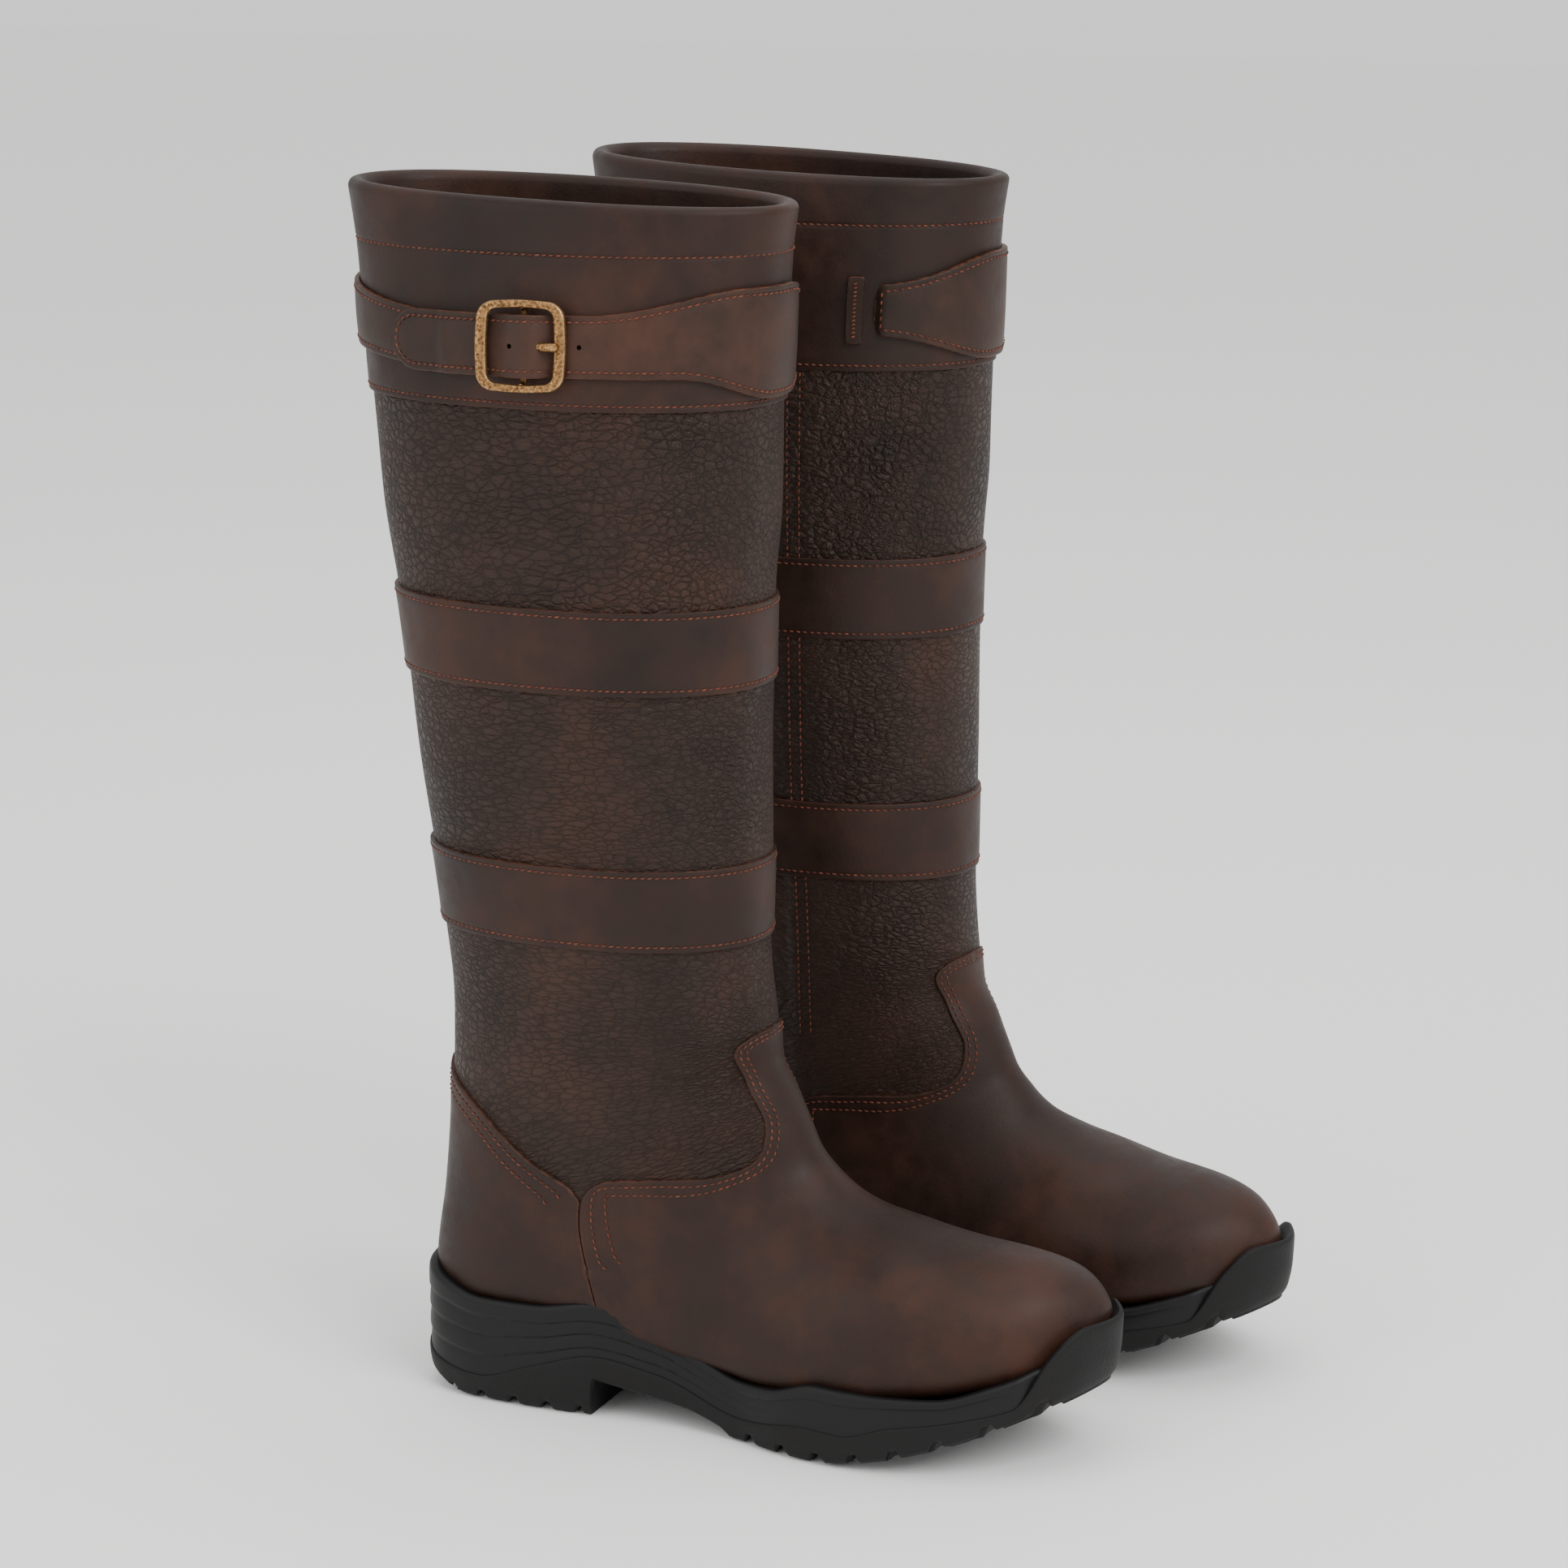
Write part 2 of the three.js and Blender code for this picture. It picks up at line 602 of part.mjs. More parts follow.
const loopThickness = 1.6;
const loopOuter = pinRadius + layerGap + loopThickness;
const pinLift = 0.4 + loopOuter; // centre of the centre bar above the collar
const overLoop = pinLift + loopOuter + layerGap;
const foldedStrap = 2 * buckleStrapThickness;
const tailLift = strapGap + foldedStrap + layerGap;
const frameReach = (buckleLength - buckleBar) / 2; // centre bar to the middle of an end bar
const frameEdge = buckleLength / 2 + 0.6;

// Underside of the billet near the buckle: under the front bar, over the centre bar, under the back bar.
function billetLift(distance) {
  const frontRamp = [-frameReach + 2, -2];
  const backRamp = [3, frameReach - 2];
  if (distance < frontRamp[1]) {
    const t = (distance - frontRamp[0]) / (frontRamp[1] - frontRamp[0]);
    return strapGap + (overLoop - strapGap) * THREE.MathUtils.clamp(t, 0, 1);
  }
  const t = (distance - backRamp[0]) / (backRamp[1] - backRamp[0]);
  return overLoop + (tailLift - overLoop) * THREE.MathUtils.clamp(t, 0, 1);
}

const billetHalf = strapWidth / 2;
const slotHalf = strapWidth / 2 - 1.5;

function billetStations() {
  const front = turnAt(-frameReach - 6);
  const around = between(slotTurn, front, 16).map((phi) => {
    const open = phi < 0 ? ease(1 - phi / slotTurn) : 1;
    const narrowTop = ease((phi - 25 * degree) / (50 * degree));
    const narrowFoot = ease((phi - 8 * degree) / (40 * degree));
    const sideHalf = THREE.MathUtils.lerp(slotHalf, strapFlare / 2, open);
    return {
      phi, off: strapGap, thick: strapThickness,
      top: strapZ + THREE.MathUtils.lerp(sideHalf, billetHalf, narrowTop),
      bottom: strapZ - THREE.MathUtils.lerp(sideHalf, billetHalf, narrowFoot),
    };
  });
  const tucked = { ...around[0], phi: fromSlot(-slotWidth * 0.35), off: layerGap - leather };
  const near = [-frameReach - 3, -frameReach + 2, -9, -5.5, -2, 0.5, 3, 7, frameReach - 2, frameEdge];
  const buckled = near.map((distance) => ({
    phi: turnAt(distance), off: billetLift(distance), thick: strapThickness,
    top: strapZ + billetHalf, bottom: strapZ - billetHalf,
  }));
  return [tucked, ...around, ...buckled];
}

// The buckle's own frame: along the strap to the back, up, and out from the leg.
const buckleFrame = (() => {
  const out = onSkin(strapRow, buckleTurn, 1).sub(onSkin(strapRow, buckleTurn, 0)).normalize();
  const along = onSkin(strapRow, turnAt(6), 0).sub(onSkin(strapRow, turnAt(-6), 0));
  along.addScaledVector(out, -along.dot(out)).normalize();
  const up = new THREE.Vector3().crossVectors(out, along);
  const frame = new THREE.Matrix4().makeBasis(along, up, out);
  return frame.setPosition(onSkin(strapRow, buckleTurn, 0));
})();

// A geometry drawn in the buckle's frame, x along the strap, y up, z outwards.
function atBuckle(geometry) {
  geometry.applyMatrix4(buckleFrame);
  return toManifold(geometry);
}

function upright(radius, length, x, z, sides = 10) {
  const geometry = new THREE.CylinderGeometry(radius, radius, length, sides);
  geometry.translate(x, 0, z);
  return geometry;
}

function block(width, height, depth, x, y, z) {
  const geometry = new THREE.BoxGeometry(width, height, depth);
  geometry.translate(x, y, z);
  return geometry;
}

function strapHole(distance, radius) {
  const frame = onSkin(strapRow, turnAt(distance), 0);
  const out = onSkin(strapRow, turnAt(distance), 1).sub(frame);
  const geometry = new THREE.CylinderGeometry(radius, radius, 30, 8);
  const upright = new THREE.Vector3(0, 1, 0);
  geometry.applyQuaternion(new THREE.Quaternion().setFromUnitVectors(upright, out.normalize()));
  geometry.translate(frame.x, frame.y, frame.z);
  return toManifold(geometry);
}

const prongHole = [-frameReach + 2.6, -2.9]; // slot in the billet where the prong comes through
const prongHoleGap = 0.8; // beside the prong
const spareHoles = [-frameReach - holePitch + 5.5, 3]; // round holes before and behind it

function billet() {
  const [from, to] = prongHole;
  const slot = atBuckle(block(to - from, 2 * (prongRadius + prongHoleGap), 20, (from + to) / 2, 0, 6));
  const cut = (strip, distance) => strip.subtract(strapHole(distance, holeRadius));
  return spareHoles.reduce(cut, ribbon(billetStations()).subtract(slot));
}

// The tail lies on the folded buckle strap and settles where that strap is single.
function tail() {
  const start = frameEdge + layerGap;
  const rounding = billetHalf;
  const settle = buckleFold + 4;
  const end = start + tailLength;
  const distances = [start, start + 6, buckleFold, settle, ...between(end - rounding, end, 5)];
  return ribbon(distances.sort((p, q) => p - q).map((distance) => {
    const t = Math.max(0, (distance - (end - rounding)) / rounding);
    const half = billetHalf * Math.max(Math.sqrt(1 - t * t), 0.25);
    const settled = ease((distance - buckleFold + 1) / 5);
    return {
      phi: turnAt(distance), thick: strapThickness, top: strapZ + half, bottom: strapZ - half,
      off: tailLift - buckleStrapThickness * settled,
    };
  }));
}

const buckleFold = 28; // how far the buckle strap is doubled behind the centre bar
const backTurn = THREE.MathUtils.degToRad(196); // where the buckle strap is sewn to the collar
const backRise = 8; // the buckle strap climbs this much towards the back

function buckleStrap() {
  const single = turnAt(buckleFold);
  const strip = (phi, half, thick, rise) => ({
    phi, off: strapGap, thick, top: strapZ + rise + half, bottom: strapZ + rise - half,
  });
  const doubled = [2, 8, 14, 21, buckleFold].map((d) => strip(turnAt(d), billetHalf - 1, foldedStrap, 0));
  const round = between(single + 2 * degree, backTurn, 8).map((phi) => {
    const t = ease((phi - single) / (backTurn - single));
    return strip(phi, billetHalf - 1 + 2 * t, buckleStrapThickness, backRise * t);
  });
  const loopLength = strapWidth - 2;
  const loop = atBuckle(upright(loopOuter, loopLength, 0, pinLift, 12));
  const bore = atBuckle(upright(pinRadius + layerGap, 2 * strapWidth, 0, pinLift, 12));
  const slot = atBuckle(block(12, 2 * prongRadius + 1.2, 20, -2.4, 0, 8));
  return ribbon([...doubled, ...round]).add(loop).subtract(bore).subtract(slot);
}

// Slit in the collar's outer wall for the end of the billet.
function strapSlot() {
  const [from, to] = [fromSlot(-slotWidth * 0.8), fromSlot(slotWidth * 0.2)];
  const clear = slotHalf + layerGap + 0.4;
  return ribbon([from, to].map((phi) => ({
    phi, off: outerLayer.inside - 0.1, thick: leather + 1, top: strapZ + clear, bottom: strapZ - clear,
  })));
}

const tabMargin = 3; // the tab is this much taller than the slit, at each end

function strapTab() {
  const edge = -slotWidth * 0.8 - tabGap;
  const half = slotHalf + tabMargin;
  return ribbon([edge - tabWidth, edge].map((distance) => ({
    phi: fromSlot(distance), off: layerGap, thick: leather, top: strapZ + half, bottom: strapZ - half,
  })));
}

// ---------------------------------------------------------------- buckle

function roundedSquare(length, height, radius) {
  const [x, y] = [length / 2, height / 2];
  const shape = new THREE.Shape();
  shape.moveTo(-x + radius, -y);
  shape.lineTo(x - radius, -y);
  shape.absarc(x - radius, -y + radius, radius, -Math.PI / 2, 0);
  shape.lineTo(x, y - radius);
  shape.absarc(x - radius, y - radius, radius, 0, Math.PI / 2);
  shape.lineTo(-x + radius, y);
  shape.absarc(-x + radius, y - radius, radius, Math.PI / 2, Math.PI);
  shape.lineTo(-x, -y + radius);
  shape.absarc(-x + radius, -y + radius, radius, Math.PI, 1.5 * Math.PI);
  return shape;
}

// Height of the skin under an end bar, seen from the buckle's own frame.
function skinUnder(distance) {
  const point = onSkin(strapRow, turnAt(distance), 0);
  return point.applyMatrix4(buckleFrame.clone().invert()).z;
}

const overStrap = strapThickness + slideGap + buckleThick / 2;
const backBarZ = tailLift + overStrap + skinUnder(frameReach - buckleBar / 2);
const frontBarZ = strapGap + overStrap + skinUnder(buckleBar / 2 - frameReach);
const frameTilt = Math.atan((backBarZ - frontBarZ) / (2 * frameReach));
const frameMiddleZ = (backBarZ + frontBarZ) / 2;
const buckleHeight = strapWidth + 2 * (strapSideGap + buckleRail);

function frameWithBar() {
  const shape = roundedSquare(buckleLength, buckleHeight, buckleCornerRadius);
  shape.holes.push(roundedSquare(
    buckleLength - 2 * buckleBar, buckleHeight - 2 * buckleRail, buckleCornerRadius - buckleRail));
  const geometry = new THREE.ExtrudeGeometry(shape, {
    depth: buckleThick, curveSegments: 4, bevelEnabled: false,
  });
  geometry.translate(0, 0, -buckleThick / 2);
  geometry.rotateY(-frameTilt);
  geometry.translate(0, 0, frameMiddleZ);
  const railY = (buckleHeight - buckleRail) / 2;
  const bar = atBuckle(upright(pinRadius, 2 * railY, 0, pinLift));
  const rise = frameMiddleZ - pinLift;
  const post = (y) => atBuckle(block(2 * pinRadius, 2, rise, 0, y, pinLift + rise / 2));
  return atBuckle(geometry).add(bar).add(post(railY)).add(post(-railY));
}

// The prong rises from the centre bar and rests over the inner edge of the front bar.
const barInner = frameReach - buckleBar / 2;
const barInnerTop = frontBarZ + buckleThick / 2 + (buckleBar / 2) * Math.tan(frameTilt);
const prongSlope = (barInnerTop + layerGap + prongRadius * 1.05 - pinLift) / barInner;
const prongTip = [-frameReach - 1.6, pinLift + prongSlope * (frameReach + 1.6)];

function prong() {
  const ring = atBuckle(upright(pinRadius + layerGap + 1.3, 2 * prongRadius, 0, pinLift, 12));
  const eye = atBuckle(upright(pinRadius + layerGap, 6, 0, pinLift, 12));
  const reach = Math.hypot(prongTip[0], prongTip[1] - pinLift);
  const angle = Math.atan2(prongTip[1] - pinLift, prongTip[0]);
  const shaft = new THREE.CapsuleGeometry(prongRadius, reach - 3, 2, 8);
  shaft.rotateZ(Math.PI / 2);
  shaft.translate(-(reach + 3) / 2 + prongRadius, 0, 0);
  shaft.rotateY(Math.PI - angle);
  shaft.translate(0, 0, pinLift);
  return ring.add(atBuckle(shaft)).subtract(eye);
}

// ---------------------------------------------------------------- materials

const finish = (color, roughness, metalness = 0) => ({ color, roughness, metalness });
const smoothLeather = finish(0x3a2620, 0.5);
const pebbledLeather = finish(0x33231d, 0.62);
const liningFinish = finish(0x4a3226, 0.7);
const brass = finish(0x8a6a3c, 0.4, 1);
const rubber = finish(0x17171a, 0.8);
const board = finish(0xb09a74, 0.9);
const foam = finish(0x2c2c2e, 0.9);
const steel = finish(0x8d9094, 0.35, 1);

// ---------------------------------------------------------------- one boot

const pieces = [
  ['outsole', outsole, rubber],
  ['midsole', midsole, rubber],
  ['shank', shank, steel],
  ['insole_board', insoleBoard, board],
  ['footbed', footbed, foam],
  ['lining', liningShell, liningFinish],
  ['toe_puff', toePuff, board],
  ['heel_stiffener', heelStiffener, board],
  ['vamp', vamp, smoothLeather],
  ['heel_counter', heelCounter, smoothLeather],
  ['lower_panel', lowerPanel, pebbledLeather],
  ['middle_panel', middlePanel, pebbledLeather],
  ['upper_panel', upperPanel, pebbledLeather],
  ['lower_band', () => band(lowerBandZ), smoothLeather],
  ['upper_band', () => band(upperBandZ), smoothLeather],
  ['collar', collar, smoothLeather],
  ['strap_tab', strapTab, smoothLeather],
  ['billet_strap', billet, smoothLeather],
  ['strap_tail', tail, smoothLeather],
  ['buckle_strap', buckleStrap, smoothLeather],
  ['buckle_frame', frameWithBar, brass],
  ['buckle_prong', prong, brass],
];

const geometries = pieces.map(([name, make, look]) => [name, toGeometry(make()), look]);

function boot(side) {
  const group = new THREE.Group();
  for (const [name, geometry, look] of geometries) {
    const mesh = new THREE.Mesh(geometry, new THREE.MeshStandardMaterial(look));
    mesh.name = `${side}_${name}`;
    group.add(mesh);
  }
  return group;
}

const turnPoint = 100; // the left boot is turned about this distance from its heel

const rightBoot = boot('right');
rightBoot.scale.x = -1;
rightBoot.position.x = -bootSpacing / 2;

const leftBoot = boot('left');
for (const mesh of leftBoot.children) {
  mesh.position.y = turnPoint;
}
leftBoot.rotation.z = -leftBootTurn;
leftBoot.position.set(bootSpacing / 2, -leftBootForward - turnPoint, 0);

// The pair stands with the middle of its footprint at the origin.
const pair = new THREE.Group();
pair.add(rightBoot, leftBoot);
pair.updateMatrixWorld(true);
const box = new THREE.Box3().setFromObject(pair, true);
const centre = box.getCenter(new THREE.Vector3());
pair.position.set(-centre.x, -centre.y, -box.min.z);
pair.updateMatrixWorld(true);

export default pair;
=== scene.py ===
"""A pair of brown leather country riding boots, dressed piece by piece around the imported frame.

Each boot is drawn in its own measures, in millimetres: x towards the outer side of the leg, a
forward from the back of the heel and z up. Leather is laid on one smooth skin, the last that
the boot is made on, and every layer is a distance from it, outwards positive.
"""

import json
import logging
import math
from dataclasses import dataclass, field
from enum import Enum
from typing import Callable, Optional, Sequence

import bpy
import numpy as np
from mathutils import Matrix, Vector
from mathutils.geometry import delaunay_2d_cdt

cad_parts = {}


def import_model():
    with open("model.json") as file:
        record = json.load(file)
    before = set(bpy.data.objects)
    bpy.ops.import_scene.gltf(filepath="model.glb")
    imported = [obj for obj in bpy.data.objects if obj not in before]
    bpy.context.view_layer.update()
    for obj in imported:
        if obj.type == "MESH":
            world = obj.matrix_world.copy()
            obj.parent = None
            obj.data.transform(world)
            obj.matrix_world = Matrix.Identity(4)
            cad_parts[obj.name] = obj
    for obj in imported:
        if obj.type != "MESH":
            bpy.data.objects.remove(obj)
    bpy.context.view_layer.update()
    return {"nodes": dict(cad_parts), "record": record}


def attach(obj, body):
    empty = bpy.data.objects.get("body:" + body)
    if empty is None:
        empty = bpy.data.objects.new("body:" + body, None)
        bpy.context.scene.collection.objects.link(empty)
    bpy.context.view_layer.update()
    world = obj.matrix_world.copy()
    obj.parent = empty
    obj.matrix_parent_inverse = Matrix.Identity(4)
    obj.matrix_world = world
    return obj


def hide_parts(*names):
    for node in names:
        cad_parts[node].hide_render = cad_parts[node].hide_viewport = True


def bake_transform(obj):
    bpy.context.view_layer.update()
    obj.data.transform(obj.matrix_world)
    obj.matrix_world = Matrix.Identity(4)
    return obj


LOG = logging.getLogger("boots")
MM = 0.001
Array = np.ndarray


class Side(Enum):
    """Which foot a boot is for."""

    RIGHT = "right"
    LEFT = "left"


@dataclass(frozen=True)
class Last:
    """Sizes of the last and of the leather laid on it, in millimetres."""

    height: float = 457.0
    rim_depth: float = 173.0
    rim_width: float = 90.0
    calf_width: float = 98.0
    ankle_width: float = 77.6
    sole_length: float = 275.0
    ball_width: float = 97.0
    heel_width: float = 69.0
    rim_tilt: float = 2.5
    rim_centre: float = 60.7
    panel_swell: float = 1.2
    sole_wall: float = 3.4
    skin_drop: float = 0.8
    collar: float = 74.0
    collar_fold: float = 21.0
    band: float = 31.0
    upper_band: float = 280.0
    lower_band: float = 184.0
    leather: float = 1.5
    panel_top: float = -1.8
    panel_under: float = -3.3
    lining_top: float = -3.6
    lining_under: float = -4.8
    fold_top: float = -5.1
    fold_under: float = -6.6


@dataclass(frozen=True)
class StrapSizes:
    """Sizes of the strap round the collar and of its buckle, in millimetres."""

    drop: float = 51.0
    width: float = 22.0
    flare: float = 40.0
    slot_half: float = 9.5
    thickness: float = 2.2
    gap: float = 0.45
    under_thickness: float = 1.8
    under_rise: float = 8.0
    fold_length: float = 28.0
    tail: float = 38.0
    buckle_turn: float = math.radians(88)
    slot_turn: float = math.radians(-52)
    back_turn: float = math.radians(196)
    buckle_length: float = 32.0
    buckle_height: float = 32.0
    end_bar: float = 4.0
    rail: float = 2.8
    frame_thick: float = 2.8
    corner: float = 6.5
    pin: float = 1.3
    loop: float = 3.2
    pitch: float = 11.5
    hole: float = 0.9


# ------------------------------------------------------------------ small mathematics


def monotone_slopes(x: Array, y: Array) -> Array:
    """Slopes that carry a smooth curve through points without overshooting them.

    Args:
        x: increasing stations.
        y: values, one column per quantity.

    Returns:
        One slope per station and quantity.
    """
    h = np.diff(x)[:, None]
    d = np.diff(y, axis=0) / h
    m = np.zeros_like(y)
    inner = d[:-1] * d[1:] > 0
    w1, w2 = 2 * h[1:] + h[:-1], h[1:] + 2 * h[:-1]
    with np.errstate(divide="ignore", invalid="ignore"):
        mean = (w1 + w2) / (w1 / d[:-1] + w2 / d[1:])
    m[1:-1] = np.where(inner, mean, 0)
    m[0], m[-1] = d[0], d[-1]
    return m


def hermite(x: Array, y: Array, m: Array, at: Array) -> Array:
    """The smooth curve through points, at any stations.

    Args:
        x: increasing stations.
        y: values, one column per quantity.
        m: slopes from monotone_slopes.
        at: stations wanted.

    Returns:
        One row of values per station wanted.
    """
    at = np.clip(at, x[0], x[-1])
    k = np.clip(np.searchsorted(x, at, side="right") - 1, 0, len(x) - 2)
    h = x[k + 1] - x[k]
    u = ((at - x[k]) / h)[:, None]
    h = h[:, None]
    return ((1 + 2 * u) * (1 - u) ** 2 * y[k] + u * (1 - u) ** 2 * h * m[k]
            + u * u * (3 - 2 * u) * y[k + 1] + u * u * (u - 1) * h * m[k + 1])


class Line:
    """A smooth line through points, such as a height along the boot."""

    def __init__(self, points: Sequence[Sequence[float]], scale: float = 1.0) -> None:
        """Keeps the points.

        Args:
            points: pairs of station and value, stations increasing.
            scale: what the stations are multiplied by.
        """
        table = np.array(points, float)
        self.x, self.y = table[:, 0] * scale, table[:, 1:2]
        self.m = monotone_slopes(self.x, self.y)

    def __call__(self, at: Array) -> Array:
        """The line's values at stations."""
        flat = np.asarray(at, float)
        return hermite(self.x, self.y, self.m, flat.ravel())[:, 0].reshape(flat.shape)


def ease(t: Array) -> Array:
    """Rises smoothly from 0 to 1 as t does."""
    t = np.clip(t, 0, 1)
    return t * t * (3 - 2 * t)


def lerp(a: Array, b: Array, t: Array) -> Array:
    """The value t of the way from a to b."""
    return a + (b - a) * t


def spline_through(points: Array, step: float, closed: bool = False) -> Array:
    """A smooth curve through points, resampled at even steps.

    Args:
        points: the points, one row each.
        step: distance between samples.
        closed: whether the curve comes back to its start.

    Returns:
        The samples, one row each. A closed curve doesn't repeat its first.
    """
    p = np.asarray(points, float)
    ring = np.vstack([p[-2:], p, p[:3]]) if closed else np.vstack([2 * p[0] - p[1], p, 2 * p[-1] - p[-2]])
    first = 2 if closed else 1
    count = len(p) if closed else len(p) - 1
    dense = []
    for i in range(first, first + count):
        p0, p1, p2, p3 = ring[i - 1], ring[i], ring[i + 1], ring[i + 2]
        k1, k2 = np.linalg.norm(p1 - p0) ** 0.5, np.linalg.norm(p2 - p1) ** 0.5
        k3 = np.linalg.norm(p3 - p2) ** 0.5
        m1 = (p2 - p1) + k2 * ((p1 - p0) / k1 - (p2 - p0) / (k1 + k2))
        m2 = (p2 - p1) + k2 * ((p3 - p2) / k3 - (p3 - p1) / (k2 + k3))
        u = np.linspace(0, 1, 24, endpoint=False)[:, None]
        dense.append((2 * u**3 - 3 * u**2 + 1) * p1 + (u**3 - 2 * u**2 + u) * m1
                     + (3 * u**2 - 2 * u**3) * p2 + (u**3 - u**2) * m2)
    curve = np.vstack([*dense, p[:1] if closed else p[-1:]])
    run = np.concatenate([[0], np.cumsum(np.linalg.norm(np.diff(curve, axis=0), axis=1))])
    n = max(3, int(round(run[-1] / step)))
    at = np.linspace(0, run[-1], n, endpoint=not closed)
    return np.stack([np.interp(at, run, curve[:, k]) for k in range(p.shape[1])], 1)


def distance_to(points: Array, line: Array, closed: bool) -> Array:
    """Distance in the plane from points to a polyline."""
    ends = np.roll(line, -1, 0) if closed else line[1:]
    starts = line if closed else line[:-1]
    d = ends - starts
    best = np.full(len(points), 1e9)
    for i in range(0, len(points), 2000):
        v = points[i:i + 2000, None, :] - starts[None]
        u = np.clip((v * d).sum(2) / np.maximum((d * d).sum(1), 1e-9), 0, 1)
        best[i:i + 2000] = np.linalg.norm(v - u[..., None] * d, axis=2).min(1)
    return best


def inside(points: Array, outline: Array) -> Array:
    """Whether points of the plane lie in an outline."""
    x, y = points[:, 0][:, None], points[:, 1][:, None]
    p, q = outline, np.roll(outline, -1, 0)
    span = (p[:, 1] > y) != (q[:, 1] > y)
    with np.errstate(divide="ignore", invalid="ignore"):
        cross = p[:, 0] + (y - p[:, 1]) * (q[:, 0] - p[:, 0]) / (q[:, 1] - p[:, 1])
    return (span & (x < cross)).sum(1) % 2 == 1


def unit(v: Array) -> Array:
    """Vectors brought to length one."""
    return v / np.maximum(np.linalg.norm(v, axis=-1, keepdims=True), 1e-9)


# ------------------------------------------------------------------ the skin


class Skin:
    """The smooth surface of the last: t runs down the leg and out to the toe, phi goes round."""

    BED = [[-0.05, 34.2], [0.05, 33.8], [0.22, 31], [0.43, 24], [0.58, 18.6], [0.7, 21.5],
           [0.79, 26], [0.87, 30], [0.925, 33.5], [0.982, 37], [1.03, 41]]

    def __init__(self, last: Last, phase: float) -> None:
        """Lays out the sections of the last.

        Args:
            last: its sizes.
            phase: shifts the soft creases, so that the two boots differ.
        """
        self.last, self.phase = last, phase
        self.bed = Line(self.BED, last.sole_length)
        self.rows = self._sections()
        top, base = np.diff(self.rows[:, 0:2], axis=0), np.diff(self.rows[:, 2:4], axis=0)
        step = (np.linalg.norm(top, axis=1) + np.linalg.norm(base, axis=1)) / 2
        self.t = np.concatenate([[0], np.cumsum(step)])
        self.m = monotone_slopes(self.t, self.rows)
        self.end = float(self.t[-1])
        dense = np.linspace(0, self.t[7], 400)
        c = hermite(self.t, self.rows, self.m, dense)
        self._heights, self._dense = (c[:, 1] + c[:, 3]) / 2, dense

    def _sections(self) -> Array:
        """The sections: front, rear, half width, shift, where it is widest, and its two roundnesses."""
        s, n = self.last, self.last.sole_length
        foot = (s.ball_width - 2 * s.sole_wall) / 2 - 1
        heel, ankle, calf = s.heel_width / 2 - 1, s.ankle_width / 2, s.calf_width / 2

        def level(z: float, front: float, rear: float, half: float, tilt: float = 0) -> list[float]:
            """A level section of the shaft."""
            return [front, z - tilt, rear, z + tilt, half, 0, 0.5, 2.2, 2.2]

        def under(share: float) -> list[float]:
            """A point of the skin's underside."""
            return [share * n, float(self.bed(np.array(share * n))) - s.skin_drop]

        def fan(a: float, z: float, base: list[float], *rest: float) -> list[float]:
            """A section of the foot, from the instep to the heel or the sole."""
            half, shift, middle, power = rest
            return [a * n, z, *base, half, shift, middle, 2.15, power]

        return np.array([
            level(s.height, s.rim_centre + s.rim_depth / 2, s.rim_centre - s.rim_depth / 2,
                  s.rim_width / 2, s.rim_tilt),
            level(s.height - s.collar_fold, 144.4, -22, s.rim_width / 2 + 1.6),
            level(s.height - s.collar, 141.5, -17.4, calf + 1),
            level(345, 139.6 + s.panel_swell, -12.6 - s.panel_swell, calf + s.panel_swell),
            level(s.upper_band + s.band, 137.9, -8.2, calf),
            level(250, 135.8 + s.panel_swell, -s.panel_swell, calf - 3 + s.panel_swell),
            level(s.lower_band, 137.2, 7.8, ankle + 3.1),
            level(150, 140, 10.6, ankle),
            fan(0.513, 138, [0.035 * n, 112], ankle - 1.8, 0, 0.5, 2.2),
            fan(0.535, 126.5, [0.026 * n, 80], ankle - 3, 0, 0.49, 2.35),
            fan(0.557, 114.5, [0.012 * n, 50], heel, 0, 0.46, 2.6),
            fan(0.571, 106, [0.045 * n, 34.6], heel, 0, 0.4, 3),
            fan(0.59, 99, under(0.22), heel, 0, 0.34, 3.4),
            fan(0.62, 91, under(0.43), 0.82 * foot, 0.5, 0.3, 3.8),
            fan(0.66, 85.2, under(0.58), 0.93 * foot, 1.5, 0.3, 4),
            fan(0.71, 80.8, under(0.7), foot, 1.5, 0.3, 4),
            fan(0.79, 75.8, under(0.79), 0.95 * foot, 0, 0.32, 4),
            fan(0.87, 73.3, under(0.87), 0.79 * foot, -1.5, 0.34, 3.8),
            fan(0.925, 70, under(0.925), 0.57 * foot, -3, 0.38, 3.5),
            fan(0.965, 63, under(0.965), 0.32 * foot, -4, 0.42, 3),
            fan(0.982, 56, under(0.982), 0.14 * foot, -4, 0.5, 2.4),
            [0.986 * n, 47, 0.986 * n, 45, 1, -4, 0.5, 2.4, 2.4],
        ])

    def at_height(self, z: Array) -> Array:
        """The t of heights on the shaft."""
        return np.interp(-np.asarray(z, float), -self._heights, self._dense)

    def _bare(self, t: Array, phi: Array) -> Array:
        """Points of the skin itself."""
        c = hermite(self.t, self.rows, self.m, t)
        cos, sin = np.cos(phi), np.sin(phi)
        power = 2 / np.where(cos > 0, c[:, 7], c[:, 8])
        reach = np.where(cos > 0, 1 - c[:, 6], c[:, 6])
        along = c[:, 6] + np.sign(cos) * reach * np.abs(cos) ** power
        across = np.sign(sin) * c[:, 4] * np.abs(sin) ** power
        return np.stack([c[:, 5] + across, c[:, 2] + along * (c[:, 0] - c[:, 2]),
                         c[:, 3] + along * (c[:, 1] - c[:, 3])], 1)

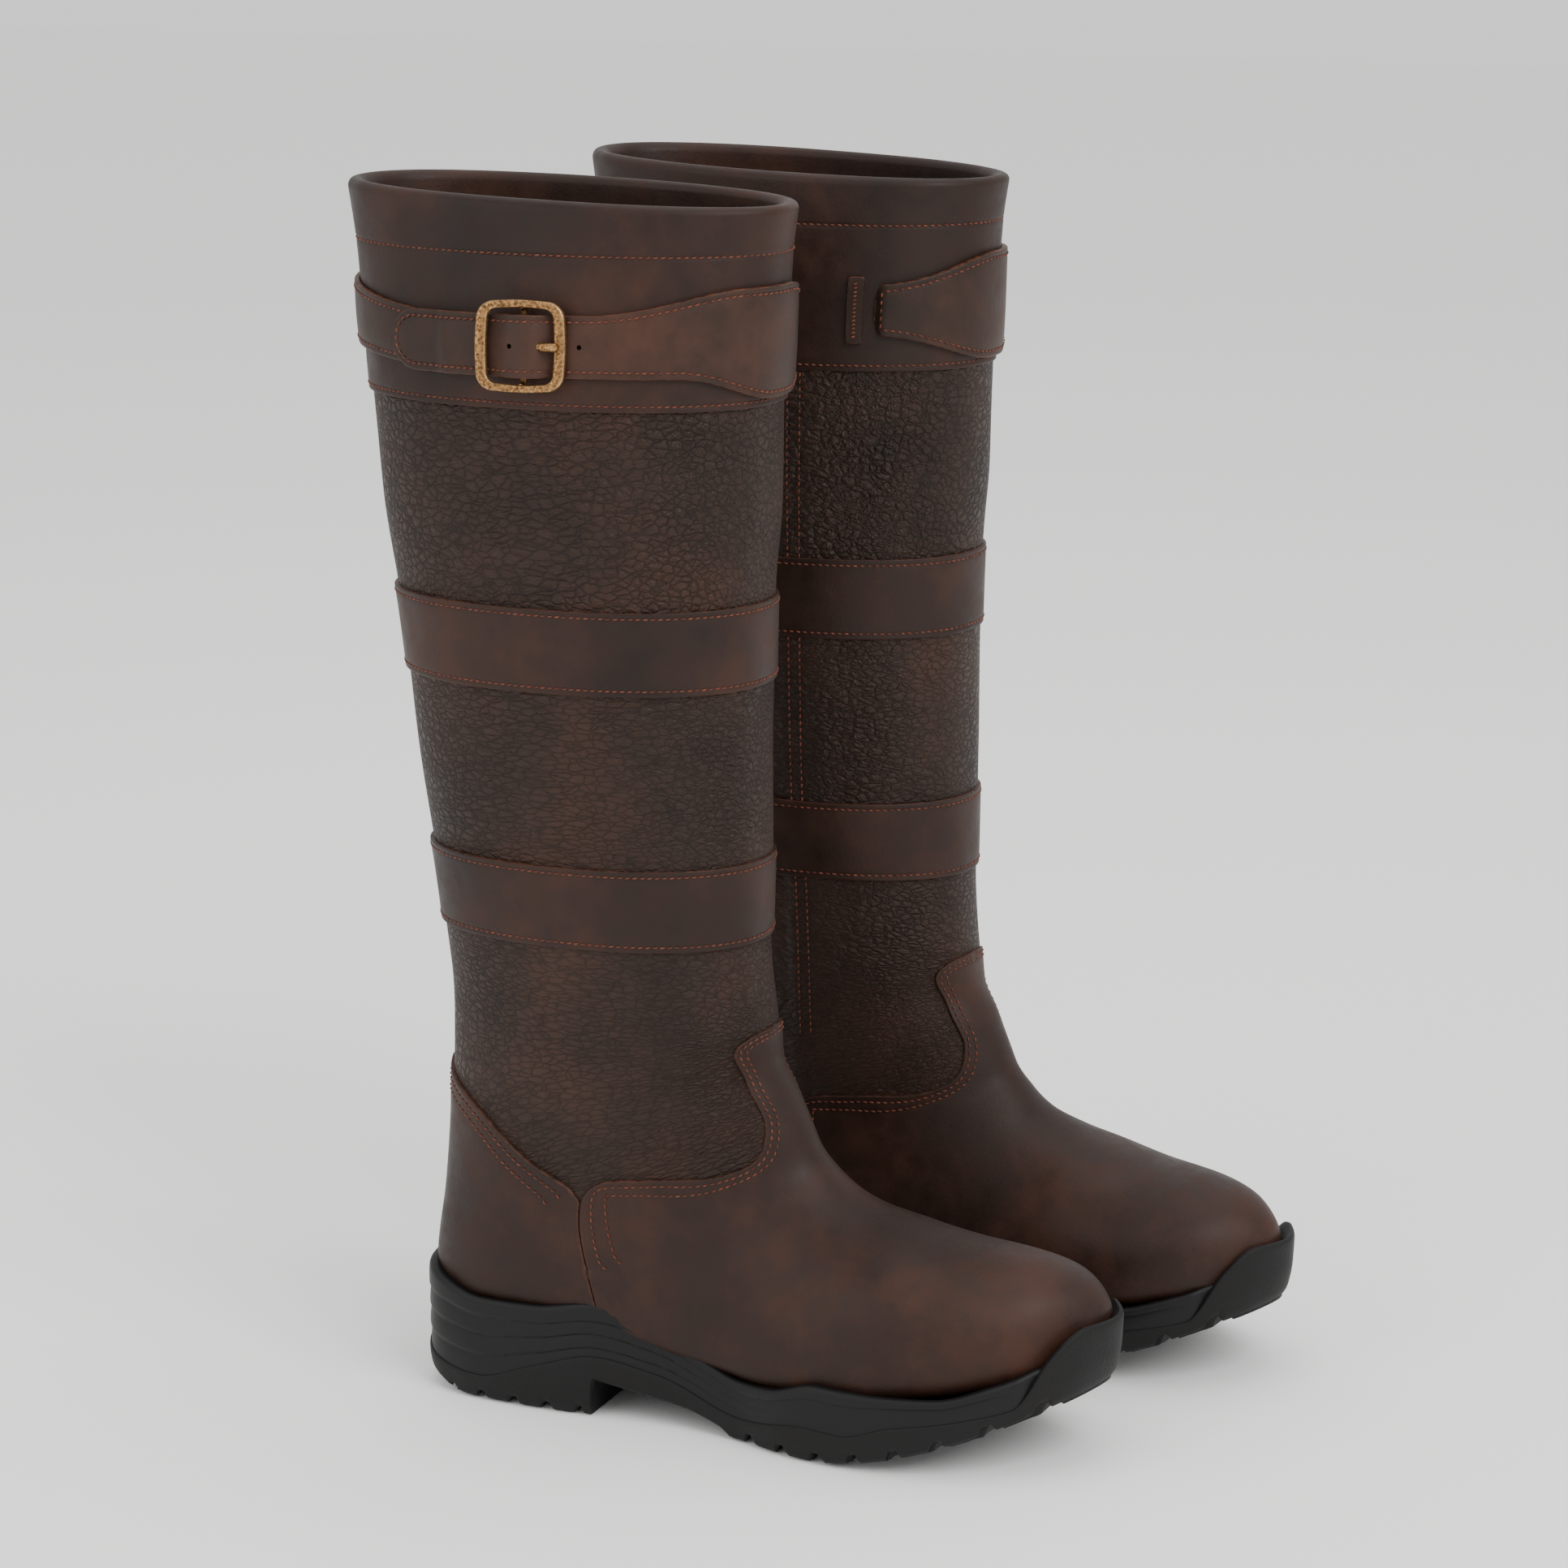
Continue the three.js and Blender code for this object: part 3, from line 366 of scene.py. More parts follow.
    def ripple(self, t: Array, phi: Array) -> Array:
        """Soft creases of worn-in leather, fading towards the rim and the sole."""
        fade = ease((t - 25) / 60) * ease((self.end - 60 - t) / 60)
        ankle = np.exp(-(((t - self.t[7] + 12) / 42) ** 2))
        p = phi + self.phase
        wave = (0.35 * np.sin(t / 19 + 2 * np.sin(p)) * np.sin(2 * p + t / 60)
                + 0.25 * np.sin(t / 11 - 1.5 * np.cos(2 * p)) * np.cos(p - 0.6))
        return fade * (0.55 * wave + 0.85 * ankle * wave)

    def point(self, t: Array, phi: Array, off: Array) -> Array:
        """Points at a distance off the skin.

        Args:
            t: stations down the boot, any shape.
            phi: turns round it, 0 in front, the outer side first.
            off: distances outwards.

        Returns:
            x, a and z in the last axis.
        """
        p, n = self.frame(t, phi)
        out = np.broadcast_to(off, p.shape[:-1]) + self.ripple(*np.broadcast_arrays(t, phi))
        return p + n * out[..., None]

    def frame(self, t: Array, phi: Array) -> tuple[Array, Array]:
        """Points of the bare skin and its outward normals."""
        t, phi = np.broadcast_arrays(np.asarray(t, float), np.asarray(phi, float))
        shape, ft, fp = t.shape, t.ravel(), phi.ravel()
        h, g = 0.6, 0.012
        lo, hi = np.clip(ft - h, 0, self.end), np.clip(ft + h, 0, self.end)
        down = self._bare(hi, fp) - self._bare(lo, fp)
        around = self._bare(ft, fp + g) - self._bare(ft, fp - g)
        normal = unit(np.cross(around, down))
        normal[:, 2] *= ease(ft / 18)
        normal = unit(normal)
        return self._bare(ft, fp).reshape(*shape, 3), normal.reshape(*shape, 3)

    def locate(self, line: Array, first: int = 6) -> Array:
        """Where a line of the side view lies on the outer side of the skin.

        Args:
            line: its points as a and z.
            first: the section where the search starts.

        Returns:
            t and phi of each point, phi between 0 and half a turn.
        """
        ts = np.linspace(self.t[first], self.end, 1500)
        c = hermite(self.t, self.rows, self.m, ts)
        base, d = c[:, 2:4], c[:, 0:2] - c[:, 2:4]
        v = line[:, None, :] - base[None]
        f = d[:, 0] * v[..., 1] - d[:, 1] * v[..., 0]
        share = (v * d).sum(2) / (d * d).sum(1)
        turned = f[:, :-1] * f[:, 1:] <= 0
        miss = np.abs(share[:, :-1] - 0.5) + np.where(turned, 0, 1e6)
        k = miss.argmin(1)
        i = np.arange(len(line))
        u = f[i, k] / np.where(np.abs(f[i, k] - f[i, k + 1]) < 1e-12, 1, f[i, k] - f[i, k + 1])
        t = ts[k] + np.clip(u, 0, 1) * (ts[1] - ts[0])
        c = hermite(self.t, self.rows, self.m, t)
        b, d = c[:, 2:4], c[:, 0:2] - c[:, 2:4]
        along = ((line - b) * d).sum(1) / (d * d).sum(1)
        up = along > c[:, 6]
        reach = np.where(up, 1 - c[:, 6], c[:, 6])
        power = np.where(up, c[:, 7], c[:, 8]) / 2
        cos = np.sign(along - c[:, 6]) * np.clip(np.abs(along - c[:, 6]) / reach, 0, 1) ** power
        return np.stack([t, np.arccos(cos)], 1)


class Placement:
    """Where a boot stands in the frame, from the flats of its heel and its ball."""

    HEEL, BALL = 40.3, 144.9

    def __init__(self, record: dict, side: Side) -> None:
        """Reads the two mounts under the boot.

        Args:
            record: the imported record.
            side: which boot.
        """
        spots = {m["name"]: Vector(m["pos_m"]) for m in record["mounts"]}
        heel, ball = spots[f"{side.value}_heel_rest"], spots[f"{side.value}_ball_rest"]
        self.forward = (ball - heel).normalized()
        self.origin = heel - self.forward * self.HEEL * MM
        turn = 1 if side is Side.LEFT else -1
        self.outer = Vector((-self.forward.y, self.forward.x, 0)) * turn

    def world(self, points: Array) -> Array:
        """Points of the boot in the frame, in metres."""
        basis = np.array([self.outer, self.forward, Vector((0, 0, 1))])
        return np.asarray(points) @ basis * MM + np.array(self.origin)


# ------------------------------------------------------------------ meshes


def deselect() -> None:
    """Clears the selection, since an operator acts on all that is selected."""
    if bpy.context.object and bpy.context.object.mode != "OBJECT":
        bpy.ops.object.mode_set(mode="OBJECT")
    bpy.ops.object.select_all(action="DESELECT")


def volume_of(mesh: bpy.types.Mesh) -> float:
    """Signed volume of a closed mesh, positive if its faces point outwards."""
    mesh.calc_loop_triangles()
    co = np.zeros(len(mesh.vertices) * 3)
    mesh.vertices.foreach_get("co", co)
    tri = np.zeros(len(mesh.loop_triangles) * 3, int)
    mesh.loop_triangles.foreach_get("vertices", tri)
    p = co.reshape(-1, 3)[tri.reshape(-1, 3)]
    return float((p[:, 0] * np.cross(p[:, 1], p[:, 2])).sum())


def finish_mesh(obj: bpy.types.Object, angle: float = 40.0) -> bpy.types.Object:
    """Points the faces of a closed piece outwards and shades it smooth.

    Args:
        obj: the piece.
        angle: edges sharper than this many degrees stay sharp.

    Returns:
        The same object.
    """
    if volume_of(obj.data) < 0:
        obj.data.flip_normals()
    deselect()
    obj.select_set(True)
    bpy.context.view_layer.objects.active = obj
    bpy.ops.object.shade_smooth_by_angle(angle=math.radians(angle))
    return obj


def paint(obj: bpy.types.Object, name: str, values: Array) -> None:
    """Stores one number per vertex for the materials to read."""
    layer = obj.data.attributes.new(name, "FLOAT", "POINT")
    layer.data.foreach_set("value", np.asarray(values, np.float32).ravel())


def lay_uv(obj: bpy.types.Object, uv: Array) -> None:
    """Gives each vertex its place on the flat leather, in metres, as the UV map."""
    mesh = obj.data
    layer = mesh.uv_layers[0] if mesh.uv_layers else mesh.uv_layers.new(name="UVMap")
    index = np.zeros(len(mesh.loops), int)
    mesh.loops.foreach_get("vertex_index", index)
    layer.data.foreach_set("uv", uv[index].astype(np.float32).ravel())


def from_faces(name: str, points: Array, faces: Sequence[Sequence[int]]) -> bpy.types.Object:
    """A new object from points and faces."""
    mesh = bpy.data.meshes.new(name)
    mesh.from_pydata(np.asarray(points).tolist(), [], [list(map(int, f)) for f in faces])
    obj = bpy.data.objects.new(name, mesh)
    bpy.context.scene.collection.objects.link(obj)
    return obj


def hoop(name: str, grid: Array, uv: Optional[Array] = None) -> bpy.types.Object:
    """A torus reshaped so that each of its small rings takes one row of a grid.

    Args:
        name: the piece's name.
        grid: points, one row per place around, closed both ways.
        uv: the flat place of each point, with the row after the last at its end.

    Returns:
        The object.
    """
    around, section = grid.shape[:2]
    if max(around, section) > 256:
        i, j = np.meshgrid(np.arange(around), np.arange(section), indexing="ij")
        k, m = (i + 1) % around * section, (j + 1) % section
        quads = np.stack([i * section + j, k + j, k + m, i * section + m], -1).reshape(-1, 4)
        return from_faces(name, grid.reshape(-1, 3), quads.tolist())
    deselect()
    bpy.ops.mesh.primitive_torus_add(
        major_segments=around, minor_segments=section, major_radius=1, minor_radius=0.25)
    obj = bpy.context.object
    obj.name = obj.data.name = name
    obj.data.vertices.foreach_set("co", grid.astype(np.float32).ravel())
    obj.data.update()
    if uv is not None:
        mesh = obj.data
        index = np.zeros(len(mesh.loops), int)
        mesh.loops.foreach_get("vertex_index", index)
        quads = index.reshape(-1, 4)
        row, place = quads // section, quads % section
        wraps = (row.max(1) == around - 1) & (row.min(1) == 0)
        row = np.where(wraps[:, None] & (row == 0), around, row)
        mesh.uv_layers[0].data.foreach_set("uv", uv[row, place].astype(np.float32).ravel())
    return obj


def sleeve(name: str, rings: Array) -> bpy.types.Object:
    """A closed tube through equal rings, with a fan on each end."""
    count, sides = rings.shape[:2]
    points = np.vstack([rings.reshape(-1, 3), rings[0].mean(0), rings[-1].mean(0)])
    faces: list[list[int]] = []
    for i in range(count - 1):
        for j in range(sides):
            k = (j + 1) % sides
            faces.append([i * sides + j, (i + 1) * sides + j, (i + 1) * sides + k, i * sides + k])
    low, high, last = count * sides, count * sides + 1, (count - 1) * sides
    for j in range(sides):
        k = (j + 1) % sides
        faces += [[low, j, k], [high, last + k, last + j]]
    return from_faces(name, points, faces)


def edge_roll(d: Array, radius: float = 0.55) -> Array:
    """How far a leather face has dropped at a distance from its cut edge."""
    inner = np.clip(radius - d, 0, radius)
    return -(radius - np.sqrt(radius**2 - inner**2)) * 0.9


def furrow(d: Array, rows: Sequence[float], depth: float = 0.22) -> Array:
    """The shallow groove that a row of stitches pulls into leather."""
    return -depth * sum((np.exp(-(((d - r) / 0.75) ** 2)) for r in rows), np.zeros_like(d))


# ------------------------------------------------------------------ stitching


class Stitches:
    """Rows of thread, each stitch a small bent bead of its own."""

    def __init__(self) -> None:
        """Models the one stitch that all the rows repeat: 2 mm long, 0.8 mm thick."""
        deselect()
        bpy.ops.mesh.primitive_uv_sphere_add(segments=6, ring_count=5, radius=0.5)
        bead = bpy.context.object
        bpy.ops.transform.rotate(value=math.pi / 2, orient_axis="Y", center_override=(0, 0, 0))
        bpy.ops.object.transform_apply(location=False, rotation=True, scale=False)
        bpy.ops.transform.resize(value=(2.05, 0.82, 0.78))
        bpy.ops.object.transform_apply(location=False, rotation=False, scale=True)
        p = np.zeros(len(bead.data.vertices) * 3)
        bead.data.vertices.foreach_get("co", p)
        self.bead = p.reshape(-1, 3)
        self.bead[:, 2] -= 0.42 * self.bead[:, 0] ** 2
        self.faces = [list(f.vertices) for f in bead.data.polygons]
        bpy.data.objects.remove(bead, do_unlink=True)
        self.points: list[Array] = []

    def row(self, line: Array, normals: Array, pitch: float = 2.7, slant: float = 0.16,
            closed: bool = False, size: float = 1.0) -> None:
        """Adds a row along a line that lies on the leather.

        Args:
            line: the points of the line.
            normals: the leather's outward direction at each.
            pitch: distance between stitches.
            slant: how far each stitch turns out of the row, in radians.
            closed: whether the row comes back to its start.
            size: scale of each stitch across the row.
        """
        if closed:
            line, normals = np.vstack([line, line[:1]]), np.vstack([normals, normals[:1]])
        run = np.concatenate([[0], np.cumsum(np.linalg.norm(np.diff(line, axis=0), axis=1))])
        count = max(2, int(run[-1] / pitch))
        at = (np.arange(count) + 0.5) * run[-1] / count
        spot = np.stack([np.interp(at, run, line[:, k]) for k in range(3)], 1)
        normal = unit(np.stack([np.interp(at, run, normals[:, k]) for k in range(3)], 1))
        ahead = np.stack([np.interp(at + 0.4, run, line[:, k]) for k in range(3)], 1)
        back = np.stack([np.interp(at - 0.4, run, line[:, k]) for k in range(3)], 1)
        along = unit(ahead - back)
        along = unit(along - normal * (along * normal).sum(1, keepdims=True))
        across = np.cross(normal, along)
        turn = slant + 0.05 * np.sin(np.arange(count) * 2.4)
        first = along * np.cos(turn)[:, None] + across * np.sin(turn)[:, None]
        second = np.cross(normal, first)
        b = self.bead
        spread = (b[None, :, 0:1] * first[:, None] + size * b[None, :, 1:2] * second[:, None]
                  + size * b[None, :, 2:3] * normal[:, None])
        self.points += list(spot[:, None] + spread + 0.12 * normal[:, None])

    def build(self, name: str, where: Placement) -> bpy.types.Object:
        """Makes one object of all the rows added so far.

        Args:
            name: its name.
            where: the boot's place.

        Returns:
            The thread.
        """
        size = len(self.bead)
        points = where.world(np.vstack(self.points))
        faces = [[i * size + v for v in f] for i in range(len(self.points)) for f in self.faces]
        self.points = []
        return finish_mesh(from_faces(name, points, faces), 80)


# ------------------------------------------------------------------ the upper


@dataclass
class Boot:
    """What every part of one boot needs: its side, its skin, its place and its thread."""

    side: Side
    last: Last
    skin: Skin
    where: Placement
    stitches: Stitches
    finishes: "Finishes"

    def name(self, piece: str) -> str:
        """A piece's full name."""
        return f"{self.side.value}_{piece}"

    def dress(self, obj: bpy.types.Object, finish: str, *nodes: str, slot: str = "") -> bpy.types.Object:
        """Gives a piece its material, its body and the nodes it stands for."""
        obj.data.materials.clear()
        obj.data.materials.append(self.finishes.get(finish))
        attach(obj, self.name("boot"))
        if nodes:
            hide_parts(*[self.name(n) for n in nodes])
        LOG.info("%s: %d vertices", obj.name, len(obj.data.vertices))
        return obj


@dataclass
class Upper:
    """The leather upper: collar, bands, pebbled panels, vamp, counter and lining."""

    boot: Boot
    columns: int = 176
    seam_a: float = 78.0
    row: float = 2.3
    second_row: float = 5.2
    vamp_edge: list = field(default_factory=lambda: [
        [0.538, 152.5], [0.505, 151], [0.481, 145], [0.495, 132], [0.519, 117], [0.512, 105],
        [0.47, 98.5], [0.38, 95.5], [0.302, 92.5], [0.276, 86], [0.271, 74], [0.282, 58],
        [0.297, 40], [0.3, 22]])
    counter_edge: list = field(default_factory=lambda: [
        [0.036, 130], [0.045, 126], [0.12, 113], [0.19, 99.5], [0.26, 88.5], [0.2655, 86]])

    def turns(self, start: float = math.pi) -> Array:
        """Evenly spaced turns round the leg, from a seam on."""
        return start + np.arange(self.columns) * 2 * math.pi / self.columns

    def hoop_piece(self, name: str, profile: Array, start: float = math.pi,
                   extra: Optional[Callable[[Array, Array], Array]] = None) -> bpy.types.Object:
        """A piece that goes all the way round the leg.

        Args:
            name: its name without the side.
            profile: its section, t and distance off the skin, a closed loop.
            start: where round the leg its flat leather begins and ends.
            extra: more distance off the skin, from t and phi.

        Returns:
            The object.
        """
        b = self.boot
        phi, t = np.meshgrid(self.turns(start), profile[:, 0], indexing="ij")
        off = np.broadcast_to(profile[:, 1], phi.shape)
        if extra is not None:
            off = off + extra(t, phi)
        local = b.skin.point(t, phi, off)
        girth = np.linalg.norm(np.diff(np.vstack([local, local[:1]]), axis=0), axis=2).mean()
        u = np.arange(self.columns + 1) * girth
        uv = np.stack(np.broadcast_arrays(u[:, None], -profile[:, 0][None]), 2) * MM
        obj = hoop(b.name(name), b.where.world(local), uv)
        worn = np.tile(profile[:, 2], (self.columns, 1)) if profile.shape[1] > 2 else np.zeros(phi.shape)
        paint(obj, "edge", worn)
        return finish_mesh(obj, 55)

    @staticmethod
    def face(t0: float, t1: float, top: float, under: float, rows: Sequence[float] = (),
             step: float = 4.0) -> Array:
        """The section of a flat strip round the leg, with rolled edges and stitch furrows.

        Args:
            t0: its upper edge.
            t1: its lower edge.
            top: distance of its outer face off the skin.
            under: distance of its inner face.
            rows: distances of the stitch rows from either edge.
            step: spacing of the section's points.

        Returns:
            t, distance off the skin and how raw the surface is, one row per point.
        """
        width = t1 - t0
        near = [0, 0.12, 0.3, 0.6, 1.0, 1.6, 2.0, 2.3, 2.7, 3.3, 4.2, 4.9, 5.2, 5.6, 6.4, 7.5]
        near = [d for d in near if d < width / 2 - 1]
        middle = np.linspace(near[-1], width - near[-1], max(3, int(width / step)))[1:-1]
        d = np.concatenate([near, middle, width - np.array(near[::-1])])
        away = np.minimum(d, width - d)
        off = top + edge_roll(away) + furrow(away, rows)
        outer = np.stack([t0 + d, off, np.where(away < 0.2, 0.8, 0)], 1)
        back = np.linspace(t1, t0, max(3, int(width / 8)))
        inner = np.stack([back, np.full_like(back, under), np.zeros_like(back)], 1)
        inner[[0, -1], 2] = 1
        return np.vstack([outer, inner])

    def sew(self, t: Array, phi: Array, off: float, closed: bool = False, **how: float) -> None:
        """Adds a row of stitches along a line of the skin."""
        p, n = self.boot.skin.frame(t, phi)
        p = p + n * (off + self.boot.skin.ripple(np.asarray(t, float) + 0 * phi, phi + 0 * t))[..., None]
        self.boot.stitches.row(p, n, closed=closed, **how)

    def sew_round(self, t: float, off: float = 0.0, **how: float) -> None:
        """Adds a row of stitches all the way round the leg."""
        phi = np.linspace(0, 2 * math.pi, 300, endpoint=False)
        self.sew(np.full_like(phi, t), phi, off, closed=True, **how)

    def collar(self) -> None:
        """The collar: turned over the rim in a soft roll, and stitched twice round."""
        s, b = self.boot.last, self.boot
        low, fold = float(b.skin.at_height(s.height - s.collar)), s.collar_fold
        roll = -s.fold_under / 2
        outer = self.face(0, low, 0, -s.leather, [])
        keep = [p for p in outer.tolist() if p[0] > roll + 0.2 and p[1] > -s.leather + 0.01]
        keep = [[t, off + furrow(np.array([low - t]), [self.row])[0]
                 + furrow(np.array([t]), [fold - 1.5], 0.35)[0], e] for t, off, e in keep]
        for d in (-2.2, -1.4, -0.7, 0, 0.7, 1.4, 2.2):
            t = fold - 1.5 + d
            keep.append([t, furrow(np.array([t]), [fold - 1.5], 0.35)[0], 0])
        keep.sort(key=lambda p: p[0])
        arc = np.linspace(0, math.pi, 15)
        top = [[roll - roll * math.sin(x), -roll + roll * math.cos(x), 0] for x in arc]
        inside = [[t, s.fold_under, 0] for t in np.linspace(roll + 3, fold - 0.4, 5)]
        lip = [[fold, s.fold_under + 0.4, 0.8], [fold, s.fold_top - 0.1, 0.8]]
        slack = [[t, s.fold_top, 0] for t in (fold - 4, fold / 2, roll + 1.6)]
        under = [[t, -s.leather, 0] for t in (roll + 1.6, fold, low / 2, low - 0.4)]
        profile = np.array(top + inside + lip + slack + under + keep[::-1])
        obj = self.hoop_piece("collar_leather", profile, extra=self.creased)
        b.dress(obj, "smooth", "collar", slot="smooth_leather")
        self.sew_round(fold - 1.5, -0.15)
        self.sew_round(low - self.row, -0.1)
        self.sew_round(fold - 1.2, s.fold_under - 0.3)

    @staticmethod
    def creased(t: Array, phi: Array) -> Array:
        """Slack in the rolled rim: it waves a little as hide does."""
        return 0.35 * np.exp(-t / 26) * (np.sin(3 * phi + 0.7) + 0.6 * np.sin(7 * phi))

    def bands(self) -> None:
        """The two sewn bands that cover the joints of the panels."""
        s, b = self.boot.last, self.boot
        for name, z in (("upper_band", s.upper_band), ("lower_band", s.lower_band)):
            top, low = float(b.skin.at_height(z + s.band)), float(b.skin.at_height(z))
            obj = self.hoop_piece(f"{name}_leather", self.face(top, low, 0.1, -1.5, [self.row]))
            b.dress(obj, "smooth", name, slot="smooth_leather")
            self.sew_round(top + self.row)
            self.sew_round(low - self.row)

    def seam_turn(self, t: Array) -> Array:
        """Where the inner side seam runs, as turns round the leg."""
        c = hermite(self.boot.skin.t, self.boot.skin.rows, self.boot.skin.m, np.asarray(t, float).ravel())
        along = (self.seam_a - c[:, 2]) / (c[:, 0] - c[:, 2])
        up = along > 0.5
        reach = np.where(up, 1 - c[:, 6], c[:, 6])
        cos = np.sign(along - 0.5) * np.clip(np.abs(along - 0.5) / reach, 0, 1) ** 1.1
        return (-np.arccos(cos)).reshape(np.shape(t))

    def lap(self, t: Array, phi: Array) -> Array:
        """The step where one panel's edge laps over the other at the inner side seam."""
        forward = (phi - self.seam_turn(t) + math.pi) % (2 * math.pi) - math.pi
        d = forward * 48
        step = ease((d + 0.5) / 0.7) * (1 - 0.65 * ease((d - 9) / 9))
        return np.where(t > 0, 1.0 * step + furrow(d, [2.0, 5.0], 0.25) * (d > 0), 0)

    def panels(self) -> None:
        """The three pebbled panels, each one piece of hide lapped at the inner side."""
        s, b = self.boot.last, self.boot
        join = 9.0
        stack = (
            ("upper_panel", s.height - s.collar + 8, s.upper_band + s.band - join, "pebbled_upper"),
            ("middle_panel", s.upper_band + join, s.lower_band + s.band - join, "pebbled_middle"),
            ("lower_panel", s.lower_band + join, None, "pebbled_lower"),
        )
        for name, high, low, finish in stack:
            t0 = float(b.skin.at_height(high))
            t1 = float(b.skin.t[11] + 2) if low is None else float(b.skin.at_height(low))
            profile = self.face(t0, t1, s.panel_top + 0.35, s.panel_under, step=2.5)
            seam = float(self.seam_turn(np.array((t0 + min(t1, b.skin.t[7])) / 2)))
            self.columns = 240
            obj = self.hoop_piece(f"{name}_leather", profile, seam, self.lap)
            self.columns = 176
            b.dress(obj, finish, name, slot="pebbled_leather")
            lower = min(t1, float(b.skin.at_height(97)) if low is None else t1)
            line = np.linspace(t0, lower if low is not None else b.skin.t[8] + 8, 160)
            for away in (2.0, 5.0):
                self.sew(line, self.seam_turn(line) + away / 48, s.panel_top + 1.2, size=0.95)

    def patch(self, name: str, outline: Array, centre: float, top: float, under: float,
              rows: Sequence[float], finish: str, nodes: Sequence[str], slot: str) -> Array:
        """A flat-cut piece laid on the skin.

        Args:
            name: its name without the side.
            outline: t and phi of its edge, a closed loop; phi counts from the centre.
            centre: the turn that the outline's phi counts from.
            top: distance of its outer face off the skin.
            under: distance of its inner face.
            rows: distances of its stitch furrows from the edge.
            finish: which finish it takes.
            nodes: the frame's nodes that it stands for.
            slot: not used; dress takes it but does nothing with it.

        Returns:
            The outline in the flat, resampled, in millimetres.
        """
        b, radius = self.boot, 45.0
        flat = np.stack([outline[:, 1] * radius, outline[:, 0]], 1)
        step = np.linalg.norm(np.diff(np.vstack([flat, flat[:1]]), axis=0), axis=1)
        run = np.concatenate([[0], np.cumsum(step)])
        closed = np.vstack([flat, flat[:1]])
        at = np.linspace(0, run[-1], int(run[-1] / 1.5), endpoint=False)
        edge = np.stack([np.interp(at, run, closed[:, k]) for k in range(2)], 1)
        tangent = unit(np.roll(edge, -1, 0) - np.roll(edge, 1, 0))
        area = (edge[:, 0] * np.roll(edge[:, 1], -1) - np.roll(edge[:, 0], -1) * edge[:, 1]).sum()
        inward = np.stack([-tangent[:, 1], tangent[:, 0]], 1) * np.sign(area)
        fill: list[Array] = []
        for d in (0.15, 0.4, 0.8, 1.5, 2.3, 3.1, 4.2, 5.2, 6.2):
            ring = edge + inward * d
            fill.append(ring[inside(ring, edge) & (distance_to(ring, edge, True) > 0.92 * d)])
        lo, hi = edge.min(0), edge.max(0)
        gx, gy = np.meshgrid(np.arange(lo[0], hi[0], 2.6), np.arange(lo[1], hi[1], 2.6), indexing="ij")
        gx = gx + (np.arange(gx.shape[1]) % 2) * 1.3
        grid = np.stack([gx.ravel(), gy.ravel()], 1)
        grid = grid[inside(grid, edge)]
        fill.append(grid[distance_to(grid, edge, True) > 7.4])
        points = np.vstack([edge, *fill])
        count = len(edge)
        ring = [(i, (i + 1) % count) for i in range(count)]
        verts, _, tris, *_ = delaunay_2d_cdt([Vector(p) for p in points], ring, [list(range(count))], 1, 1e-4)
        plane = np.array([list(v) for v in verts])
        away = distance_to(plane, edge, True)
        t, phi = plane[:, 1], plane[:, 0] / radius + centre
        off = top + edge_roll(away) + furrow(away, rows, 0.25)
        outer = b.skin.point(t, phi, off)
        inner = b.skin.point(t, phi, np.full_like(off, under))
        n = len(plane)
        faces = [list(f) for f in tris] + [[i + n for i in reversed(f)] for f in tris]
        seen = {(f[i], f[(i + 1) % 3]) for f in tris for i in range(3)}
        faces += [[j, i, i + n, j + n] for i, j in seen if (j, i) not in seen]
        obj = from_faces(b.name(name), b.where.world(np.vstack([outer, inner])), faces)
        worn = np.where(away < 0.25, 0.8, 0)
        paint(obj, "edge", np.concatenate([worn, np.where(away < 0.01, 1, 0)]))
        lay_uv(obj, np.vstack([plane, plane]) * MM)
        finish_mesh(obj, 55)
        b.dress(obj, finish, *nodes, slot=slot)
        return np.hstack([edge, inward])

    def sole_line(self, lift: float, start: float, end: float, count: int = 60) -> Array:
        """A line of the side view just above the bed of the sole."""
        n = self.boot.last.sole_length
        a = np.linspace(start * n, end * n, count)
        return np.stack([a, self.boot.skin.bed(a) + lift], 1)

    def vamp(self) -> None:
        """The vamp: from the tongue at the ankle down to the sole and out to the toe."""
        b, n = self.boot, self.boot.last.sole_length
        edge = spline_through(np.array(self.vamp_edge) * [n, 1], 2.0)
        outer = b.skin.locate(edge, 6)
        foot = b.skin.locate(self.sole_line(2, 0.305, 0.955), 6)
        half = np.vstack([[[outer[0, 0], 0.0]], outer, foot])
        tip = np.array([[b.skin.end - 3, foot[-1, 1] * 0.6]])
        half = np.vstack([half, tip])
        mirror = half[::-1] * [1, -1]
        outline = np.vstack([half, mirror[:-1]])
        ring = self.patch("vamp_leather", outline, 0.0, 0, -1.5, [self.row, self.second_row],
                          "smooth", ["vamp"], "smooth_leather")
        self.edge_rows(ring, 0.0, lambda t, a, z: (z > 54) & (a < 0.6 * n))

